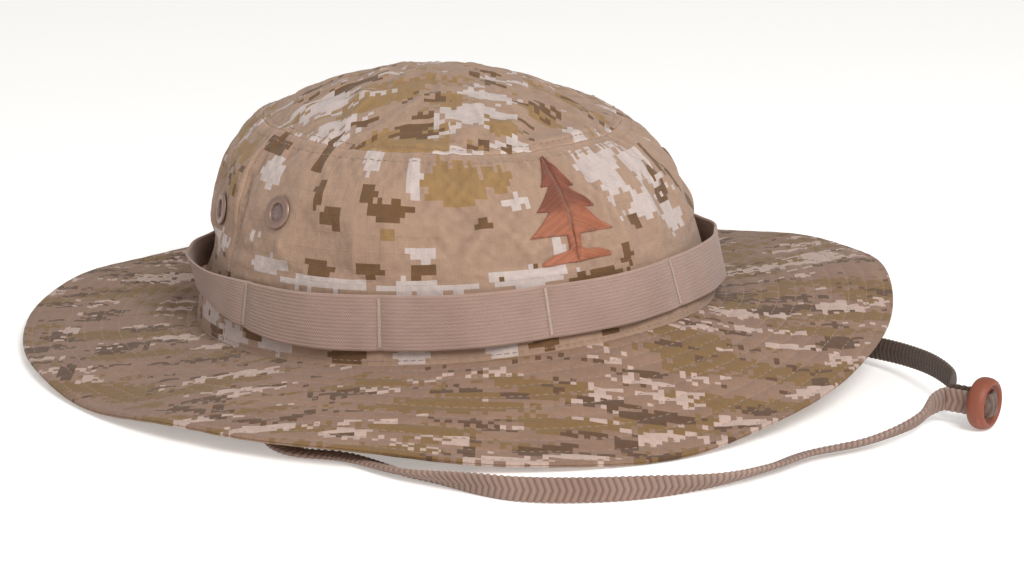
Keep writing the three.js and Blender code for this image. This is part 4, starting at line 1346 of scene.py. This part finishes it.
def chin_cord():
    """The braid from one sewn end to the other, flat, with chevron ribs and a spine."""
    path, places = smooth_path(RIGHT_STRAND + bight() + LEFT_STRAND, 0.36)
    points = path[:, :3]
    tilt = np.radians(path[:, 3])[:, None]
    along = unit(np.gradient(points, axis=0))
    level = unit(xyz(along[:, 1], -along[:, 0], 0))
    upright = np.cross(level, along)
    upright = upright * np.sign(upright[:, 2:])
    wide = level * np.cos(tilt) + upright * np.sin(tilt)
    thick = np.cross(wide, along)
    turn = np.linspace(0, 2 * np.pi, BRAID_SIDES, endpoint=False)
    across = rounded(np.cos(turn), 0.7)
    depth = rounded(np.sin(turn), 0.75)
    phase = places[:, None] / RIB_STEP + np.abs(across) * 0.7
    ribs = np.abs(np.sin(np.pi * phase)) ** 0.8
    spine = bell(across, 0.1)
    swell_by = 0.62 + 0.46 * ribs - 0.16 * spine
    half_width = CORD_HALF_WIDTH * (0.93 + 0.07 * ribs)
    shift_wide = wide[:, None] * (across * half_width)[..., None]
    shift_thick = thick[:, None] * (depth * CORD_HALF_THICKNESS * swell_by)[..., None]
    rings = points[:, None] + shift_wide + shift_thick
    lowest = np.minimum(rings[..., 2].min(1) - REST_LEVEL - 0.03, 0)
    rings[..., 2] -= lowest[:, None]
    ends = [rings[:1] * 0.15 + points[:1, None] * 0.85, rings[-1:] * 0.15 + points[-1:, None] * 0.85]
    rings = np.concatenate([ends[0], rings, ends[1]])
    quads = grid_quads(len(rings), BRAID_SIDES, closed_rows=True)[..., ::-1].reshape(-1, 4)
    flow = np.concatenate([places[:1], places, places[-1:]])
    pattern = xyz(flow[:, None], across * CORD_HALF_WIDTH, depth)
    piece = build("chin_cord_braid", rings.reshape(-1, 3), quads, pattern.reshape(-1, 3))
    finish_piece(piece, BRAID, "chin_cord", ["chin_cord"])


def braid_material():
    """Braided tape: fine yarns slant along each rib, with painted highlights on the ribs, painted shade
    between them and painted shade on the far strand.
    """
    graph = Graph("cord_braid", 0.85)
    parts = graph.parts(graph.place)
    side = graph.math("ABSOLUTE", parts[1])
    phase = graph.plus(parts[0], graph.times(side, 0.7 * RIB_STEP / CORD_HALF_WIDTH))
    rib = graph.math("ABSOLUTE", graph.math("SINE", graph.times(phase, np.pi / RIB_STEP)))
    yarn = graph.math("SINE", graph.times(graph.minus(phase, side), 2 * np.pi / 0.55))
    mixed = graph.mix(graph.stains(0.04), rgb("997c6e"), rgb("8b6e60"))
    # painted shade over the far strand of the cord
    far_strand_shade = graph.range(parts[0], FAR_STRAND - 6, FAR_STRAND + 10)
    mixed = graph.mix(far_strand_shade, mixed, rgb("4e392b"))
    # painted highlight along each rib and painted shade between the ribs
    mixed = graph.shade(mixed, rib, 0.6, 1.22)
    mixed = graph.shade(mixed, graph.range(yarn, -1.0, 1.0), 0.88, 1.1)
    mixed = graph.shade(mixed, graph.noise(graph.place, 2.0, 2.0), 0.82, 1.16)
    fuzz = graph.bump(graph.noise(graph.place, 3.0, 2.0), 0.1)
    return graph.done(mixed, graph.bump(yarn, 0.08, fuzz), sheen=0.2)


BRAID = braid_material()
chin_cord()


# ------------------------------------------------------------------ cord end tabs
TAB_HALF_WIDTH = 4.0
TAB_TOP = 12.0  # above the cord's sewn end


def end_tab(name, side, node):
    """A tab of folded webbing on the sweatband, rounded at its lower end, with a stitched box."""
    inner_face = ANCHOR[0] + 1.1 + GAP
    height, across = grid(-TAB_HALF_WIDTH, TAB_TOP, 60, -1, 1, 40)
    round_end = np.sqrt(np.clip(TAB_HALF_WIDTH ** 2 - height ** 2, 0.02, None))
    width = np.where(height < 0, round_end, TAB_HALF_WIDTH)
    edge = np.clip((1 - np.abs(across)) * TAB_HALF_WIDTH / 0.6, 0, 1) ** 0.5
    rib = np.cos(across * width * 2 * np.pi / RIB_PITCH)
    half = 0.7 * (0.45 + 0.55 * edge) + 0.06 * rib
    middle = inner_face + 0.7 + 0.1 * np.sin(height * 0.7)
    y = ANCHOR[1] + across * width
    z = ANCHOR[2] + height
    outer = xyz(side * (middle + half), y, z)
    inner = xyz(side * (middle - half), y, z)
    pattern = xyz(height, across * TAB_HALF_WIDTH, 0)
    if side > 0:
        outer, inner = inner, outer
    piece = shell(name, outer, inner, pattern)
    finish_piece(piece, WEBBING, stands_for=[node])
    x = side * (inner_face - 0.12)
    corners = [(-2.9, 3), (2.9, 3), (2.9, 11), (-2.9, 11), (-2.9, 3), (2.9, 11), (2.9, 3), (-2.9, 11)]
    path = np.array([[x, ANCHOR[1] + a, ANCHOR[2] + b] for a, b in corners])
    steps = np.linspace(0, len(corners) - 1, 160)
    dense = np.stack([np.interp(steps, np.arange(len(corners)), path[:, k]) for k in range(3)], -1)
    lifts = np.tile([-float(side), 0.0, 0.0], (len(dense), 1))
    finish_piece(stitched(f"{name}_stitches", [(dense, lifts)], 0.16, pitch=1.9), THREAD)


end_tab("cord_end_tab_right_webbing", -1, "cord_end_tab_right")
end_tab("cord_end_tab_left_webbing", 1, "cord_end_tab_left")


# ------------------------------------------------------------------ keeper
def keeper():
    """A leather button with a dished face, a rolled rim and two slots cut for the cord."""
    axes = np.stack([KEEPER_SIDE, [0.0, 0.0, 1.0], KEEPER_OUT])
    half = KEEPER_THICKNESS / 2
    outline = [
        [0.05, -half], [6.4, -half], [7.7, -half + 0.5], [8.45, -half + 1.7], [8.6, 0], [8.45, half - 1.7],
        [7.9, half - 0.5], [7.1, half], [6.4, half - 0.3], [5.8, half - 1.3], [4.4, half - 1.75],
        [0.05, half - 1.85],
    ]
    piece = lathe("cord_keeper_leather", outline, 96, lambda points: KEEPER_CENTRE + points @ axes)
    for number, place in enumerate((-SLOT_SPACING / 2, SLOT_SPACING / 2)):
        cutter = slot_cutter(place, axes)
        cut = piece.modifiers.new(f"slot_{number}", "BOOLEAN")
        cut.object = cutter
        cut.solver = "EXACT"
        bpy.context.view_layer.objects.active = piece
        bpy.ops.object.modifier_apply(modifier=cut.name)
        bpy.data.objects.remove(cutter)
    finish_piece(piece, KEEPER_LEATHER, "cord_keeper", ["cord_keeper"])


def slot_cutter(place, axes):
    """A rounded bar through the keeper, one slot wide."""
    turn = np.linspace(0, 2 * np.pi, 32, endpoint=False)
    x = place + SLOT_HALF_WIDTH * rounded(np.cos(turn), 0.4)
    y = SLOT_HALF_HEIGHT * rounded(np.sin(turn), 0.4)
    rings = np.stack([xyz(x, y, z) for z in (-6.0, 6.0)])
    points = KEEPER_CENTRE + rings.reshape(-1, 3) @ axes
    quads = grid_quads(2, 32, closed_rows=True)[..., ::-1].reshape(-1, 4)
    cutter = build("slot_cutter", points, quads)
    form = bmesh.new()
    form.from_mesh(cutter.data)
    bmesh.ops.holes_fill(form, edges=form.edges)
    bmesh.ops.recalc_face_normals(form, faces=form.faces)
    form.to_mesh(cutter.data)
    form.free()
    return cutter


KEEPER_LEATHER = leather("keeper_leather", "99543a", "6b3424")
keeper()


# ------------------------------------------------------------------ floor, light and camera
def floor():
    """Pale paper on the table's level, slightly bright of its own."""
    half = 6.0
    corners = [(-half, -half, 0), (half, -half, 0), (half, half, 0), (-half, half, 0)]
    mesh = bpy.data.meshes.new("studio_floor")
    mesh.from_pydata(corners, [], [(0, 1, 2, 3)])
    made = bpy.data.objects.new("studio_floor", mesh)
    bpy.context.scene.collection.objects.link(made)
    graph = Graph("studio_paper", 0.9)
    where = graph.node("TexCoord", {}).outputs["Object"]
    grain = graph.noise(where, 60.0, 3.0)
    color = graph.shade(graph.mix(grain, rgb("f6f5f3"), rgb("f2f1ef")), grain, 0.99, 1.01)
    graph.join(color, graph.surface.inputs["Emission Color"])
    graph.surface.inputs["Emission Strength"].default_value = 0.34
    made.data.materials.append(graph.done(color))


def key_light():
    """A soft light from above the camera."""
    place = Vector((-0.08, -1.05, 0.95))
    target = Vector((0, 0, 0.04))
    lamp = bpy.data.lights.new("key", "AREA")
    lamp.shape = "DISK"
    lamp.size = 0.6
    lamp.energy = 13.8
    made = bpy.data.objects.new("key", lamp)
    bpy.context.scene.collection.objects.link(made)
    made.location = place
    made.rotation_euler = (target - place).to_track_quat("-Z", "Y").to_euler()


def studio_sky():
    """Even light from all round."""
    sky = bpy.data.worlds.new("studio")
    sky.use_nodes = True
    background = next(n for n in sky.node_tree.nodes if n.type == "BACKGROUND")
    background.inputs["Color"].default_value = (1.0, 0.995, 0.99, 1.0)
    background.inputs["Strength"].default_value = 0.56
    bpy.context.scene.world = sky
    bpy.context.scene.view_settings.view_transform = "Standard"


CAMERA_AZIMUTH = -28.5
CAMERA_ELEVATION = 14.5
CAMERA_DISTANCE = 1.0
CAMERA_LENS = 96.54


def camera():
    """A long lens from a little above, between the hat's front and the wearer's right."""
    turn = np.radians(CAMERA_AZIMUTH)
    tilt = np.radians(CAMERA_ELEVATION)
    back = np.array([np.sin(turn) * np.cos(tilt), -np.cos(turn) * np.cos(tilt), np.sin(tilt)])
    right = np.array([np.cos(turn), np.sin(turn), 0.0])
    target = world(20.9 * right + [0, 0, 7.5])
    lens = bpy.data.cameras.new("camera")
    lens.lens = CAMERA_LENS
    lens.clip_end = 20
    made = bpy.data.objects.new("camera", lens)
    bpy.context.scene.collection.objects.link(made)
    made.location = target + CAMERA_DISTANCE * back
    made.rotation_euler = Vector(back).to_track_quat("Z", "Y").to_euler()
    bpy.context.scene.camera = made


floor()
studio_sky()
key_light()
camera()
